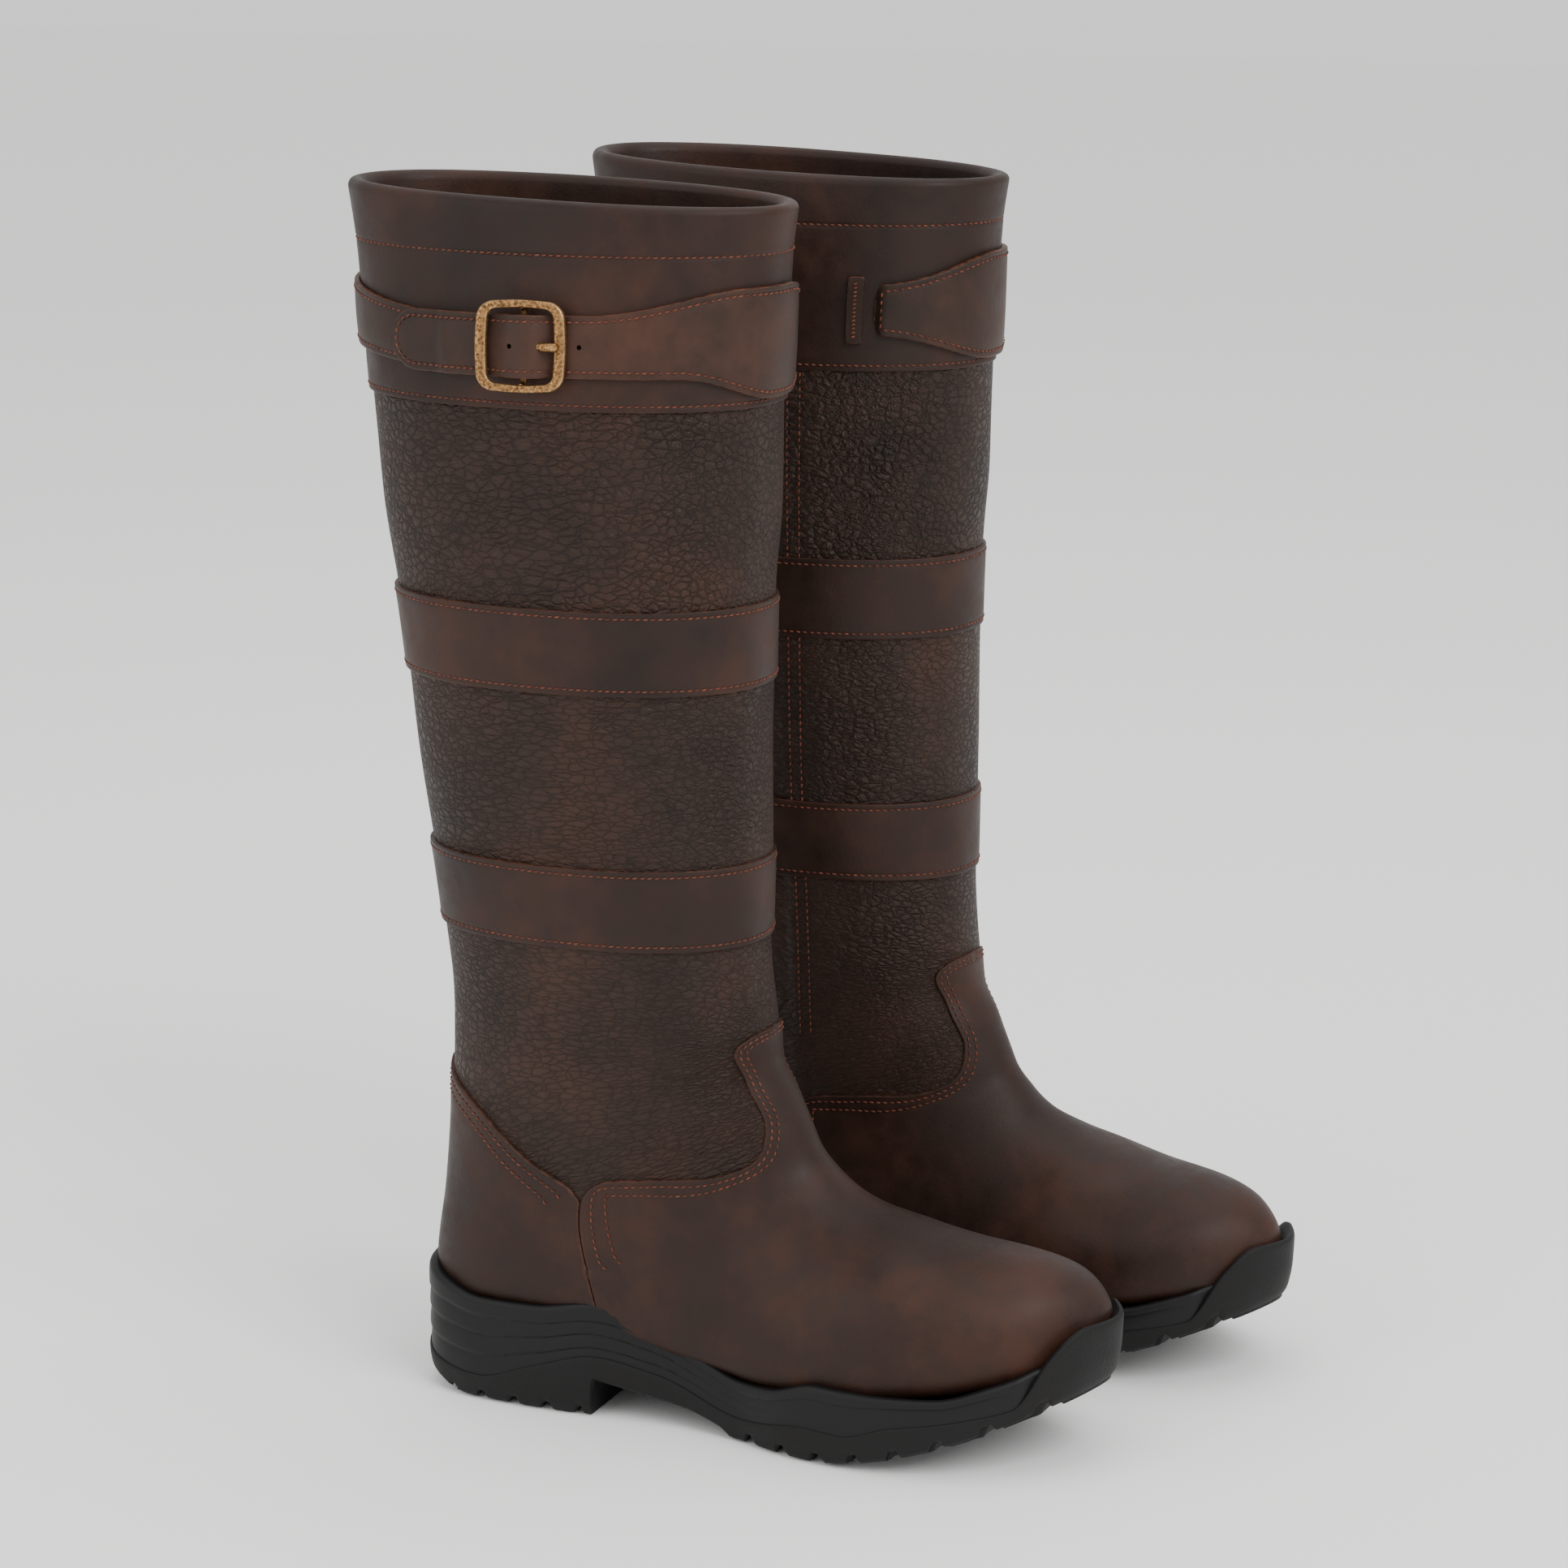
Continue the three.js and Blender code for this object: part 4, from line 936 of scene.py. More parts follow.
    def counter(self) -> None:
        """The counter round the heel, under the vamp's back edge."""
        b, n = self.boot, self.boot.last.sole_length
        top = b.skin.locate(spline_through(np.array(self.counter_edge) * [n, 1], 2.0), 6)
        edge = spline_through(np.array(self.vamp_edge) * [n, 1], 2.0)
        back = edge[(edge[:, 1] < 85) & (edge[:, 0] < 0.32 * n)] - [0.35, 0]
        side = b.skin.locate(back, 6)
        foot = b.skin.locate(self.sole_line(2, 0.3, 0.03, 30), 6)
        half = np.vstack([top[1:], side, foot])
        half[:, 1] = math.pi - half[:, 1]
        half = half[half[:, 1] > 0.03]
        outline = np.vstack([half * [1, -1], half[::-1]])
        ring = self.patch("heel_counter_leather", outline, math.pi, -0.05, -1.5, [self.row, self.second_row],
                          "smooth", ["heel_counter"], "smooth_leather")
        self.edge_rows(ring, math.pi, lambda t, a, z: z > 87)

    def edge_rows(self, ring: Array, centre: float, shown: Callable[..., Array]) -> None:
        """Sews two rows along a patch's edge, wherever that edge shows.

        Args:
            ring: the outline and its inward directions, in the flat.
            centre: the turn its phi counts from.
            shown: whether to sew, from t, a and z of the outline.
        """
        radius = 45.0
        for away in (self.row, self.second_row):
            line = ring[:, 0:2] + ring[:, 2:4] * away
            phi, t = line[:, 0] / radius + centre, line[:, 1]
            local, _ = self.boot.skin.frame(ring[:, 1], ring[:, 0] / radius + centre)
            keep = shown(t, local[:, 1], local[:, 2]) & (distance_to(line, ring[:, 0:2], True) > 0.85 * away)
            runs = np.split(np.arange(len(keep)), np.where(~keep)[0])
            for run in runs:
                run = run[keep[run]]
                if len(run) > 4:
                    self.sew(t[run], phi[run], -0.1)

    def lining(self) -> None:
        """The lining: a leather sock from the fold of the collar to the toe."""
        s, b = self.boot.last, self.boot
        ankle = b.skin.t[8]
        reach = np.concatenate([np.linspace(2.4, ankle, 60), np.linspace(ankle, b.skin.end, 40)[1:]])
        phi = self.turns()
        walls = []
        for off in (s.lining_top, s.lining_under):
            t, p = np.meshgrid(reach, phi, indexing="ij")
            slack = 0.25 * np.sin(9 * p + 0.5) * ease((t - 20) / 50) if off == s.lining_under else 0
            walls.append(b.skin.point(t, p, off + slack))
        rings = np.vstack([walls[0][::-1], walls[1]])
        obj = sleeve(b.name("lining_leather"), b.where.world(rings))
        finish_mesh(obj, 60)
        b.dress(obj, "lining", "lining", slot="lining_leather")
        z = b.skin.at_height(np.linspace(s.height - 24, 170, 120))
        for away in (-1.6, 1.6):
            self.sew(z, np.full_like(z, math.pi) + away / 40, s.lining_under - 0.3)

    def stiffeners(self) -> None:
        """The hidden stiffeners at the toe and the heel, between the leather and the lining."""
        b, n = self.boot, self.boot.last.sole_length
        toe = b.skin.locate(np.vstack([[[0.8 * n, 70.0]], self.sole_line(4, 0.8, 0.95)]), 6)
        half = np.vstack([[[toe[0, 0], 0.0]], toe])
        outline = np.vstack([half, half[::-1][:-1] * [1, -1]])
        self.patch("toe_stiffener_sheet", outline, 0.0, -1.85, -3.3, [], "sheet", ["toe_puff"], "stiffener")
        rim = np.array([[0.04, 112], [0.12, 97], [0.19, 84], [0.26, 72], [0.29, 60]])
        top = b.skin.locate(rim * [n, 1], 6)
        foot = b.skin.locate(self.sole_line(4, 0.29, 0.03, 30), 6)
        half = np.vstack([top, foot])
        half[:, 1] = math.pi - half[:, 1]
        half = half[half[:, 1] > 0.03]
        outline = np.vstack([half * [1, -1], half[::-1]])
        self.patch("heel_stiffener_sheet", outline, math.pi, -3.35, -3.55, [], "sheet",
                   ["heel_stiffener"], "stiffener")

    def build(self) -> None:
        """Makes every piece of the upper."""
        self.collar()
        self.bands()
        self.panels()
        self.vamp()
        self.counter()
        self.lining()
        self.stiffeners()


# ------------------------------------------------------------------ the sole


@dataclass
class Sole:
    """The moulded sole: a smooth grooved midsole over a cleated outsole with a toe bumper."""

    boot: Boot
    samples: int = 620
    shift: list = field(default_factory=lambda: [
        [0, 0], [0.35, 0], [0.58, 1.5], [0.72, 1.5], [0.9, -0.6], [1, -2.2]])
    half: list = field(default_factory=lambda: [
        [0, 0], [0.01, 0.42], [0.035, 0.7], [0.08, 0.88], [0.15, 0.97], [0.24, 1], [0.34, 0.95],
        [0.42, 0.93], [0.5, 1.05], [0.58, 1.28], [0.66, 1.4], [0.73, 1.42], [0.81, 1.34],
        [0.88, 1.12], [0.94, 0.8], [0.98, 0.44], [1, 0]])
    spring: list = field(default_factory=lambda: [
        [-0.1, 0], [0.3, 0], [0.62, 0], [0.7, 3], [0.82, 12.5], [0.93, 24], [1.05, 36]])
    parting: list = field(default_factory=lambda: [
        [-0.05, 27], [0.03, 13], [0.11, 9.8], [0.2, 17.5], [0.29, 24.2], [0.38, 20], [0.51, 9.6],
        [0.62, 13.6], [0.67, 13], [0.74, 18.6], [0.83, 22.6], [0.9, 26.6], [0.935, 33]])
    rand: list = field(default_factory=lambda: [
        [-0.05, 52], [0.05, 44.5], [0.12, 40.5], [0.2, 41], [0.29, 44.6], [0.37, 39], [0.45, 28.5],
        [0.51, 23.6], [0.56, 24.6], [0.63, 30], [0.72, 29.6], [0.8, 30], [0.88, 35.6], [0.935, 40.5],
        [1.0, 42]])
    wall: list = field(default_factory=lambda: [
        [-4, 4], [3, 2.2], [12, 0.6], [28, 0], [40, 0], [70, 0.8]])
    lug: float = 3.6
    breast: float = 78.0
    ball_share: float = 1.42

    def __post_init__(self) -> None:
        """Draws the plan outline and the height lines."""
        s = self.boot.last
        n = self.length = s.sole_length
        ends = np.array(self.half)
        width = np.where(ends[:, 1] <= 1, ends[:, 1] * s.heel_width / 2,
                         s.heel_width / 2 + (ends[:, 1] - 1) / (self.ball_share - 1)
                         * (s.ball_width - s.heel_width) / 2)
        middle = Line(self.shift, n)
        self.middle = middle
        a = ends[:, 0] * n
        outer = np.stack([middle(a) + width, a], 1)
        inner = np.stack([middle(a) - width, a], 1)[1:-1][::-1]
        plan = spline_through(np.vstack([outer, inner]), 1.0, True)
        run = np.linspace(0, len(plan), self.samples, endpoint=False).astype(int)
        self.plan = plan[run]
        tangent = unit(np.roll(self.plan, -1, 0) - np.roll(self.plan, 1, 0))
        area = (self.plan[:, 0] * np.roll(self.plan[:, 1], -1)
                - np.roll(self.plan[:, 0], -1) * self.plan[:, 1]).sum()
        self.outward = np.stack([tangent[:, 1], -tangent[:, 0]], 1) * np.sign(area)
        self.spring_line, self.parting_line = Line(self.spring, n), Line(self.parting, n)
        self.rand_line = Line(self.rand, n)
        self.wall_line = Line(self.wall)

    def at(self, inset: Array, z: Array) -> Array:
        """Points of the wall, in from the plan outline and at a height."""
        inset, z = np.broadcast_arrays(inset, z)
        plan = self.plan[None] if inset.ndim == 2 else self.plan
        flat = plan - self.outward * inset[..., None]
        return np.concatenate([flat, z[..., None]], -1)

    def inset(self, z: Array, a: Array) -> Array:
        """How far the wall stands in at a height above the ground line."""
        return self.wall_line(z - self.spring_line(a))

    def waves(self, a: Array, share: Array) -> Array:
        """The swept steps moulded into the midsole's wall, as depth.

        Args:
            a: distance from the heel.
            share: place between the parting line at 0 and the upper edge at 1.

        Returns:
            How far the surface is set in.
        """
        n = self.length
        heel = 1 - ease((a / n - 0.42) / 0.16)
        fore = ease((a / n - 0.45) / 0.12) * (1 - ease((a / n - 0.86) / 0.06))
        depth = np.zeros_like(share)
        for place, deep in ((0.24, 1.0), (0.5, 1.15), (0.74, 1.0)):
            drift = place + 0.05 * np.sin(a / 17)
            below = drift - share
            depth += heel * deep * np.exp(-np.clip(below, 0, 9) / 0.11) * ease((below + 0.015) / 0.03)
        below = 0.72 - share
        depth += fore * 0.9 * np.exp(-np.clip(below, 0, 9) / 0.22) * ease((below + 0.03) / 0.06)
        return depth

    def midsole(self) -> None:
        """The midsole, its wall stepped in waves and its upper edge a thin soft lip."""
        b, n = self.boot, self.length
        a = self.plan[:, 1]
        low, high = self.parting_line(a) - 0.6, self.rand_line(a)
        under_bumper = 1.8 * ease((a / n - 0.9) / 0.03)
        rows = []
        for share in np.linspace(0, 1, 44):
            z = lerp(low, high, share)
            lip = 0.9 * np.exp(-(1 - share) * (high - low) / 0.8)
            wall = self.inset(z, a) + self.waves(a, np.full_like(a, share))
            rows.append(self.at(wall + lip + under_bumper, z))
        edge = self.inset(high, a) + under_bumper
        for into, rise in ((1.6, 0.35), (3.4, 0.2), (5.6, -0.6), (11, -4)):
            rows.append(self.at(edge + into, high + rise))
        rows.append(self.at(edge + 11, lerp(low, high, 0.2)))
        rows.append(self.at(edge + 4, low + 0.2))
        grid = np.stack(rows, 1)
        obj = finish_mesh(hoop(b.name("midsole_rubber"), b.where.world(grid)), 60)
        b.dress(obj, "midsole", "midsole", slot="midsole_rubber")

    def tread(self, a: Array, x: Array) -> Array:
        """Height of the underside: cleats under the heel and the forefoot, a smooth arch between."""
        n = self.length
        across = np.abs(x) / 40

        def cleats(start: float, end: float, count: int, bow: float) -> Array:
            """Lug height between two stations, in rows that bow across the sole."""
            pitch = (end - start) / count
            along = (a + bow * across**2 - start) / pitch
            place = along - np.floor(along)
            up = ease((place - 0.64) / 0.1) * (1 - ease((place - 0.9) / 0.1))
            return up * self.lug * (0.45 + 0.55 * np.clip(across * 1.4, 0, 1))

        ground = np.maximum(self.spring_line(a), 0)
        back = np.interp(a, [-0.02 * n, 0.02 * n, 0.055 * n, 0.08 * n], [18, 6, 1.5, 0])
        arch = np.interp(a, [self.breast + 0.5, 0.35 * n, 0.43 * n, 0.475 * n, 0.49 * n],
                         [15, 11.5, 7.5, 3.4, 0])
        heel = np.where(a < self.breast - 4, cleats(6, self.breast - 2, 5, 0), 0)
        fore = np.where((a > 0.49 * n) & (a < 0.95 * n), cleats(0.49 * n, 0.95 * n, 8, 4), 0)
        step = ease((a - self.breast) / 1.2)
        return ground + np.where(a < self.breast + 1.2, np.maximum(back, heel * 0.8) * (1 - step) + 15 * step,
                                 np.where(a < 0.49 * n, arch, fore))

    def outsole(self) -> None:
        """The outsole: its wall, the bumper over the toe and the cleats underneath."""
        b, n = self.boot, self.length
        a, x = self.plan[:, 1], self.plan[:, 0]
        bumper = ease((a / n - 0.893) / 0.085)
        top = lerp(self.parting_line(a), 54.5 + 0 * a, bumper)
        low = self.tread(a, x)
        rows = []
        for share in np.concatenate([[0, 0.03, 0.08], np.linspace(0.16, 0.94, 14), [0.985, 1]]):
            z = lerp(low, top, share)
            soft = 0.9 * math.exp(-share * 30) + 0.55 * np.exp(-(1 - share) * (top - low) / 0.5)
            proud = 0.7 * ease(share * 6) * (1 - 0.5 * bumper)
            rows.append(self.at(self.inset(z, a) + soft - proud, z))
        edge = self.inset(top, a)
        for into, rise in ((1.4, 0.2), (3.0, -0.6), (6.0, -3)):
            rows.append(self.at(edge + into, top + rise * lerp(1, 1.6, bumper)))
        spine_a = np.clip(a, 0.1 * n, 0.93 * n)
        spine = np.stack([self.middle(spine_a), spine_a], 1)
        inner = self.at(edge + 6, top)[:, 0:2]
        flat_top = np.minimum(top, self.parting_line(a)) - 3
        for share in (0.35, 0.7, 1.0):
            rows.append(np.concatenate([lerp(inner, spine, share), flat_top[:, None]], 1))
        foot = self.at(self.inset(low, a) + 1.1, low)[:, 0:2]
        for share in np.linspace(1, 0.0, 22):
            p = lerp(foot, spine, share)
            rows.append(np.concatenate([p, self.tread(p[:, 1], p[:, 0])[:, None]], 1))
        grid = np.stack(rows, 1)
        obj = finish_mesh(hoop(b.name("outsole_rubber"), b.where.world(grid)), 38)
        b.dress(obj, "outsole", "outsole", slot="outsole_rubber")

    def build(self) -> None:
        """Makes the sole."""
        self.midsole()
        self.outsole()


# ------------------------------------------------------------------ strap and buckle


@dataclass
class StrapAndBuckle:
    """The strap round the collar, its free end, the strap under it, and the brass buckle."""

    boot: Boot
    sizes: StrapSizes = field(default_factory=StrapSizes)

    def __post_init__(self) -> None:
        """Measures the way round the collar at strap height."""
        s = self.sizes
        self.z = self.boot.last.height - s.drop
        self.row = float(self.boot.skin.at_height(self.z))
        phi = np.radians(np.linspace(-75, 215, 1500))
        p = self.boot.skin.point(np.full_like(phi, self.row), phi, 0.0)
        run = np.concatenate([[0], np.cumsum(np.linalg.norm(np.diff(p, axis=0), axis=1))])
        self.phis, self.run = phi, run - np.interp(s.buckle_turn, phi, run)
        self.reach = (s.buckle_length - s.end_bar) / 2
        self.edge = s.buckle_length / 2 + 0.6
        self.pin_lift = 0.4 + s.loop
        self.over = self.pin_lift + s.loop + 0.3
        self.tail_lift = s.gap + 2 * s.under_thickness + 0.3
        self.start, self.end = float(np.interp(s.slot_turn, phi, self.run)), self.edge + 0.3 + s.tail

    def turn(self, distance: Array) -> Array:
        """The turn round the leg at a distance from the buckle, positive backwards."""
        return np.interp(distance, self.run, self.phis)

    def lift(self, d: Array) -> Array:
        """How far the strap's underside is off the collar along its way through the buckle."""
        s, r = self.sizes, self.reach
        front = s.gap + (self.over - s.gap) * ease((d + r - 1.5) / (r - 4))
        back = self.over + (self.tail_lift - self.over) * ease((d - 2.5) / (r - 4.5))
        settled = s.under_thickness * ease((d - s.fold_length - 1) / 6)
        lifted = np.where(d < 0, front, back - settled)
        return np.where(d < self.start + 3, lerp(-1.4, s.gap, ease((d - self.start) / 3)), lifted)

    def edges(self, d: Array) -> tuple[Array, Array]:
        """Heights of the strap's upper and lower edge above its middle line."""
        s = self.sizes
        deg = np.degrees(self.turn(d))
        open_ = np.where(deg < 0, ease(1 - deg / math.degrees(s.slot_turn)), 1)
        side = lerp(s.slot_half, s.flare / 2, open_)
        up = lerp(side, s.width / 2, ease((deg - 25) / 50))
        down = lerp(side, s.width / 2, ease((deg - 8) / 40))
        past = np.clip((d - self.end + s.width / 2) / (s.width / 2), 0, 1)
        round_ = np.sqrt(np.clip(1 - past**2, 0.0009, 1))
        corner = np.sqrt(np.clip(1 - np.clip((self.start + 3 - d) / 3, 0, 1) ** 2, 0.2, 1))
        return up * round_ * corner, -down * round_ * corner

    def ribbon(self, name: str, d: Array, up: Array, down: Array, lift: Array, thick: Array,
               rise: Array, rows: Sequence[float]) -> bpy.types.Object:
        """A strap laid along the collar.

        Args:
            name: its name without the side.
            d: stations along it.
            up: height of its upper edge above the middle, at each.
            down: height of its lower edge.
            lift: distance of its underside off the skin.
            thick: its thickness.
            rise: how far its middle has climbed.
            rows: distances of the stitch furrows from its edges.

        Returns:
            The object.
        """
        b = self.boot
        near = np.array([0, 0.1, 0.3, 0.6, 1.1, 1.8, 2.3, 2.8, 3.6])
        count = len(d)
        sections = []
        for i in range(count):
            width = up[i] - down[i]
            scale = min(1.0, width / 9)
            rim = near * scale
            y = np.concatenate([rim, np.linspace(rim[-1], width - rim[-1], 9)[1:-1], width - rim[::-1]])
            away = np.minimum(y, width - y)
            crown = 0.35 * np.sin(math.pi * y / width)
            top = lift[i] + thick[i] + edge_roll(away, 0.6) + furrow(away, rows, 0.22) + crown
            under = np.linspace(width, 0, 6)
            cut = np.where((under < 0.1) | (under > width - 0.1), 1, 0)
            sections.append(np.vstack([
                np.stack([down[i] + y, top, np.where(away < 0.2, 0.9, 0)], 1),
                np.stack([down[i] + under, np.full(6, lift[i]), cut], 1)]))
        profile = np.stack(sections)
        t = b.skin.at_height(self.z + rise[:, None] + profile[..., 0])
        phi = np.broadcast_to(self.turn(d)[:, None], t.shape)
        rings = b.skin.point(t, phi, profile[..., 1])
        obj = sleeve(b.name(name), b.where.world(rings))
        worn = np.append(profile[..., 2].ravel(), [1, 1])
        worn[:profile.shape[1]] = np.maximum(worn[:profile.shape[1]], 0.7)
        paint(obj, "edge", worn)
        return finish_mesh(obj, 50)

    def sew_edge(self, d: Array, height: Array, off: Array, **how: float) -> None:
        """Sews a row along a strap."""
        b = self.boot
        t, phi = b.skin.at_height(self.z + height), self.turn(d)
        p, n = b.skin.frame(t, phi)
        b.stitches.row(p + n * (off + b.skin.ripple(t, phi))[..., None], n, **how)

    def punch(self, obj: bpy.types.Object, distances: Sequence[float]) -> None:
        """Punches round holes through a strap."""
        for d in distances:
            phi = np.array([float(self.turn(d))])
            p, n = self.boot.skin.frame(np.array([self.row]), phi)
            ends = self.boot.where.world(np.vstack([p, p + n]))
            axis = Vector(ends[1] - ends[0]).normalized()
            deselect()
            bpy.ops.mesh.primitive_cylinder_add(
                vertices=20, radius=self.sizes.hole * MM, depth=0.03,
                location=Vector(ends[0]), rotation=axis.to_track_quat("Z", "Y").to_euler())
            drill = bpy.context.object
            cut = obj.modifiers.new("hole", "BOOLEAN")
            cut.operation, cut.solver, cut.object = "DIFFERENCE", "EXACT", drill
            deselect()
            obj.select_set(True)
            bpy.context.view_layer.objects.active = obj
            bpy.ops.object.modifier_apply(modifier=cut.name)
            bpy.data.objects.remove(drill, do_unlink=True)

    def strap(self) -> None:
        """The strap, from its slit on the inner side, flared over the shin, through the buckle to its tip."""
        b, s = self.boot, self.sizes
        d = np.unique(np.concatenate([
            self.start + np.array([0, 0.4, 1, 1.8, 3]), np.arange(self.start + 3, -18, 1.8),
            np.arange(-18, 22, 0.7), np.arange(22, self.end - 11, 1.6),
            self.end - 11 * (1 - np.sin(np.linspace(0, math.pi / 2, 16)))]))
        up, down = self.edges(d)
        lift = self.lift(d)
        obj = self.ribbon("strap_leather", d, up, down, lift, np.full_like(d, s.thickness), 0 * d, [2.3])
        self.punch(obj, (-self.reach - s.pitch + 5.5, 3.0))
        where = self.boot.where.world(self.boot.skin.point(
            np.full(2, self.row), self.turn(np.array([15.5, 23.0])), 6.0))
        obj.data.materials.clear()
        obj.data.materials.append(b.finishes.get("strap"))
        b.name("boot")
        b.name("tail")
        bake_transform(obj)
        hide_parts(b.name("billet_strap"), b.name("strap_tail"))
        inset = 2.4
        main = d[(d > self.start + inset) & (d < 14.5)]
        up, down = self.edges(main)
        off = self.lift(main) + s.thickness + 0.05
        self.sew_edge(main, up - inset, off)
        self.sew_edge(main, down + inset, off)
        y = np.linspace(down[0] + inset, up[0] - inset, 12)
        self.sew_edge(np.full(12, self.start + inset), y, np.full(12, float(off[0])))

    def tail_thread(self) -> bpy.types.Object:
        """The thread round the strap's free end."""
        b, s, inset = self.boot, self.sizes, 2.4
        straight = np.arange(17.2, self.end - s.width / 2, 1.5)
        arc = np.linspace(math.pi / 2, -math.pi / 2, 26)
        radius = s.width / 2 - inset
        centre = self.end - s.width / 2
        d = np.concatenate([straight, centre + radius * np.cos(arc), straight[::-1]])
        side = np.full_like(straight, radius)
        y = np.concatenate([side, radius * np.sin(arc), -side])
        self.sew_edge(d, y, self.lift(d) + s.thickness + 0.3)
        return b.stitches.build(b.name("tail_stitching"), b.where)

    def under_strap(self) -> None:
        """The strap under the free end: folded round the buckle's bar and sewn on at the back."""
        b, s = self.boot, self.sizes
        far = float(np.interp(s.back_turn, self.phis, self.run))
        d = np.unique(np.concatenate([
            np.arange(1.5, 34, 1.2), np.arange(34, far, 2.2), [far - 1, far - 0.4, far]]))
        climb = ease((d - s.fold_length) / (far - s.fold_length))
        thick = lerp(2 * s.under_thickness, s.under_thickness, ease((d - s.fold_length + 2) / 3))
        half = s.width / 2 - 1 + 2 * climb
        half = half * np.sqrt(np.clip(1 - np.clip((d - far + 1.2) / 1.2, 0, 1) ** 2, 0.8, 1))
        rise = s.under_rise * climb
        obj = self.ribbon("under_strap_leather", d, half, -half, np.full_like(d, s.gap), thick, rise, [2.3])
        turned = self.frame_matrix()
        deselect()
        bpy.ops.mesh.primitive_cylinder_add(vertices=28, radius=s.loop * MM, depth=(s.width - 2) * MM)
        loop = bpy.context.object
        bpy.ops.transform.rotate(value=math.pi / 2, orient_axis="X", center_override=(0, 0, 0))
        bpy.ops.object.transform_apply(location=False, rotation=True, scale=False)
        bevel = loop.modifiers.new("rolled", "BEVEL")
        bevel.width, bevel.segments = 0.5 * MM, 2
        bpy.ops.object.modifier_apply(modifier=bevel.name)
        loop.data.transform(Matrix.Translation((0, 0, self.pin_lift * MM)))
        loop.data.transform(turned)
        if turned.determinant() < 0:
            loop.data.flip_normals()
        paint(loop, "edge", np.zeros(len(loop.data.vertices)))
        deselect()
        loop.select_set(True)
        obj.select_set(True)
        bpy.context.view_layer.objects.active = obj
        bpy.ops.object.join()
        b.dress(obj, "strap", "buckle_strap", slot="smooth_leather")
        seen = d[(d > self.end - 8) & (d < far - 2)]
        climb = ease((seen - s.fold_length) / (far - s.fold_length))
        half, rise = s.width / 2 - 1 + 2 * climb, s.under_rise * climb
        off = np.full_like(seen, s.gap + s.under_thickness + 0.05)
        self.sew_edge(seen, rise + half - 2.4, off)
        self.sew_edge(seen, rise - half + 2.4, off)
        y = np.linspace(rise[-1] - half[-1] + 2.4, rise[-1] + half[-1] - 2.4, 12)
        self.sew_edge(np.full(12, far - 2.4), y, np.full(12, float(off[0])))

    def tab(self) -> None:
        """The small tab sewn on the collar beside the slit, bar-tacked in thick thread."""
        b, s = self.boot, self.sizes
        d = self.start + np.array([-10.2, -10.0, -9.5, -8.6, -7.2, -6, -5, -4.6, -4.4])
        away = np.abs(d - d.mean()) / (d[-1] - d.mean())
        half = (s.slot_half + 3) * np.sqrt(np.clip(1 - away**6 * 0.06, 0.8, 1))
        obj = self.ribbon(
            "strap_tab_leather", d, half, -half, np.full_like(d, 0.3), np.full_like(d, 1.4), 0 * d, [])
        b.dress(obj, "strap", "strap_tab", slot="smooth_leather")
        y = np.linspace(-s.slot_half - 1, s.slot_half + 1, 40)
        self.sew_edge(np.full(40, self.start - 7.6), y, np.full(40, 2.0), pitch=1.5, slant=1.2, size=1.1)

    def frame_matrix(self) -> Matrix:
        """The buckle's own frame in the world: x backwards along the strap, y up and z out."""
        b = self.boot
        phi = np.array([float(self.turn(0.0)), float(self.turn(-6.0)), float(self.turn(6.0))])
        p, n = b.skin.frame(np.full(3, self.row), phi)
        p = b.where.world(p)
        out = Vector(unit(b.where.world(b.skin.frame(np.array([self.row]), phi[:1])[0] + n[:1])[0] - p[0]))
        along = Vector(p[2] - p[1])
        along = (along - out * along.dot(out)).normalized()
        up = out.cross(along) * (1 if b.side is Side.RIGHT else -1)
        if up.z < 0:
            up = -up
        turned = Matrix((along, up, out)).transposed().to_4x4()
        turned.translation = Vector(p[0])
        return turned

    def bar_heights(self) -> tuple[float, float]:
        """Heights of the frame's two end bars above the skin, front and back."""
        s = self.sizes
        clear = s.thickness + 0.75 + s.frame_thick / 2

        def skin_at(d: float) -> float:
            """Height of the skin there, in the buckle's frame."""
            p = self.boot.skin.point(np.array([self.row]), np.array([float(self.turn(d))]), 0.0)
            return (self.frame_matrix().inverted() @ Vector(self.boot.where.world(p)[0])).z / MM

        return (s.gap + clear + skin_at(s.end_bar / 2 - self.reach) + 0.25,
                self.tail_lift + clear + skin_at(self.reach - s.end_bar / 2) + 0.25)

    def contour(self, length: float, height: float, corner: float, bow: float) -> Array:
        """A rounded square whose sides bow out a little."""
        x, y = length / 2 - corner, height / 2 - corner
        points = []
        for k, (cx, cy) in enumerate(((x, y), (-x, y), (-x, -y), (x, -y))):
            for step in np.linspace(0, math.pi / 2, 13):
                angle = k * math.pi / 2 + step
                points.append([cx + corner * math.cos(angle), cy + corner * math.sin(angle)])
            nx, ny = ((-x, y), (-x, -y), (x, -y), (x, y))[k]
            ax, ay = points[-1]
            bx = nx + corner * math.cos((k + 1) * math.pi / 2)
            by = ny + corner * math.sin((k + 1) * math.pi / 2)
            for share in np.linspace(0, 1, 12)[1:-1]:
                out = bow * math.sin(math.pi * share)
                angle = (k + 1) * math.pi / 2
                points.append([lerp(ax, bx, share) + out * math.cos(angle),
                               lerp(ay, by, share) + out * math.sin(angle)])
        return np.array(points)

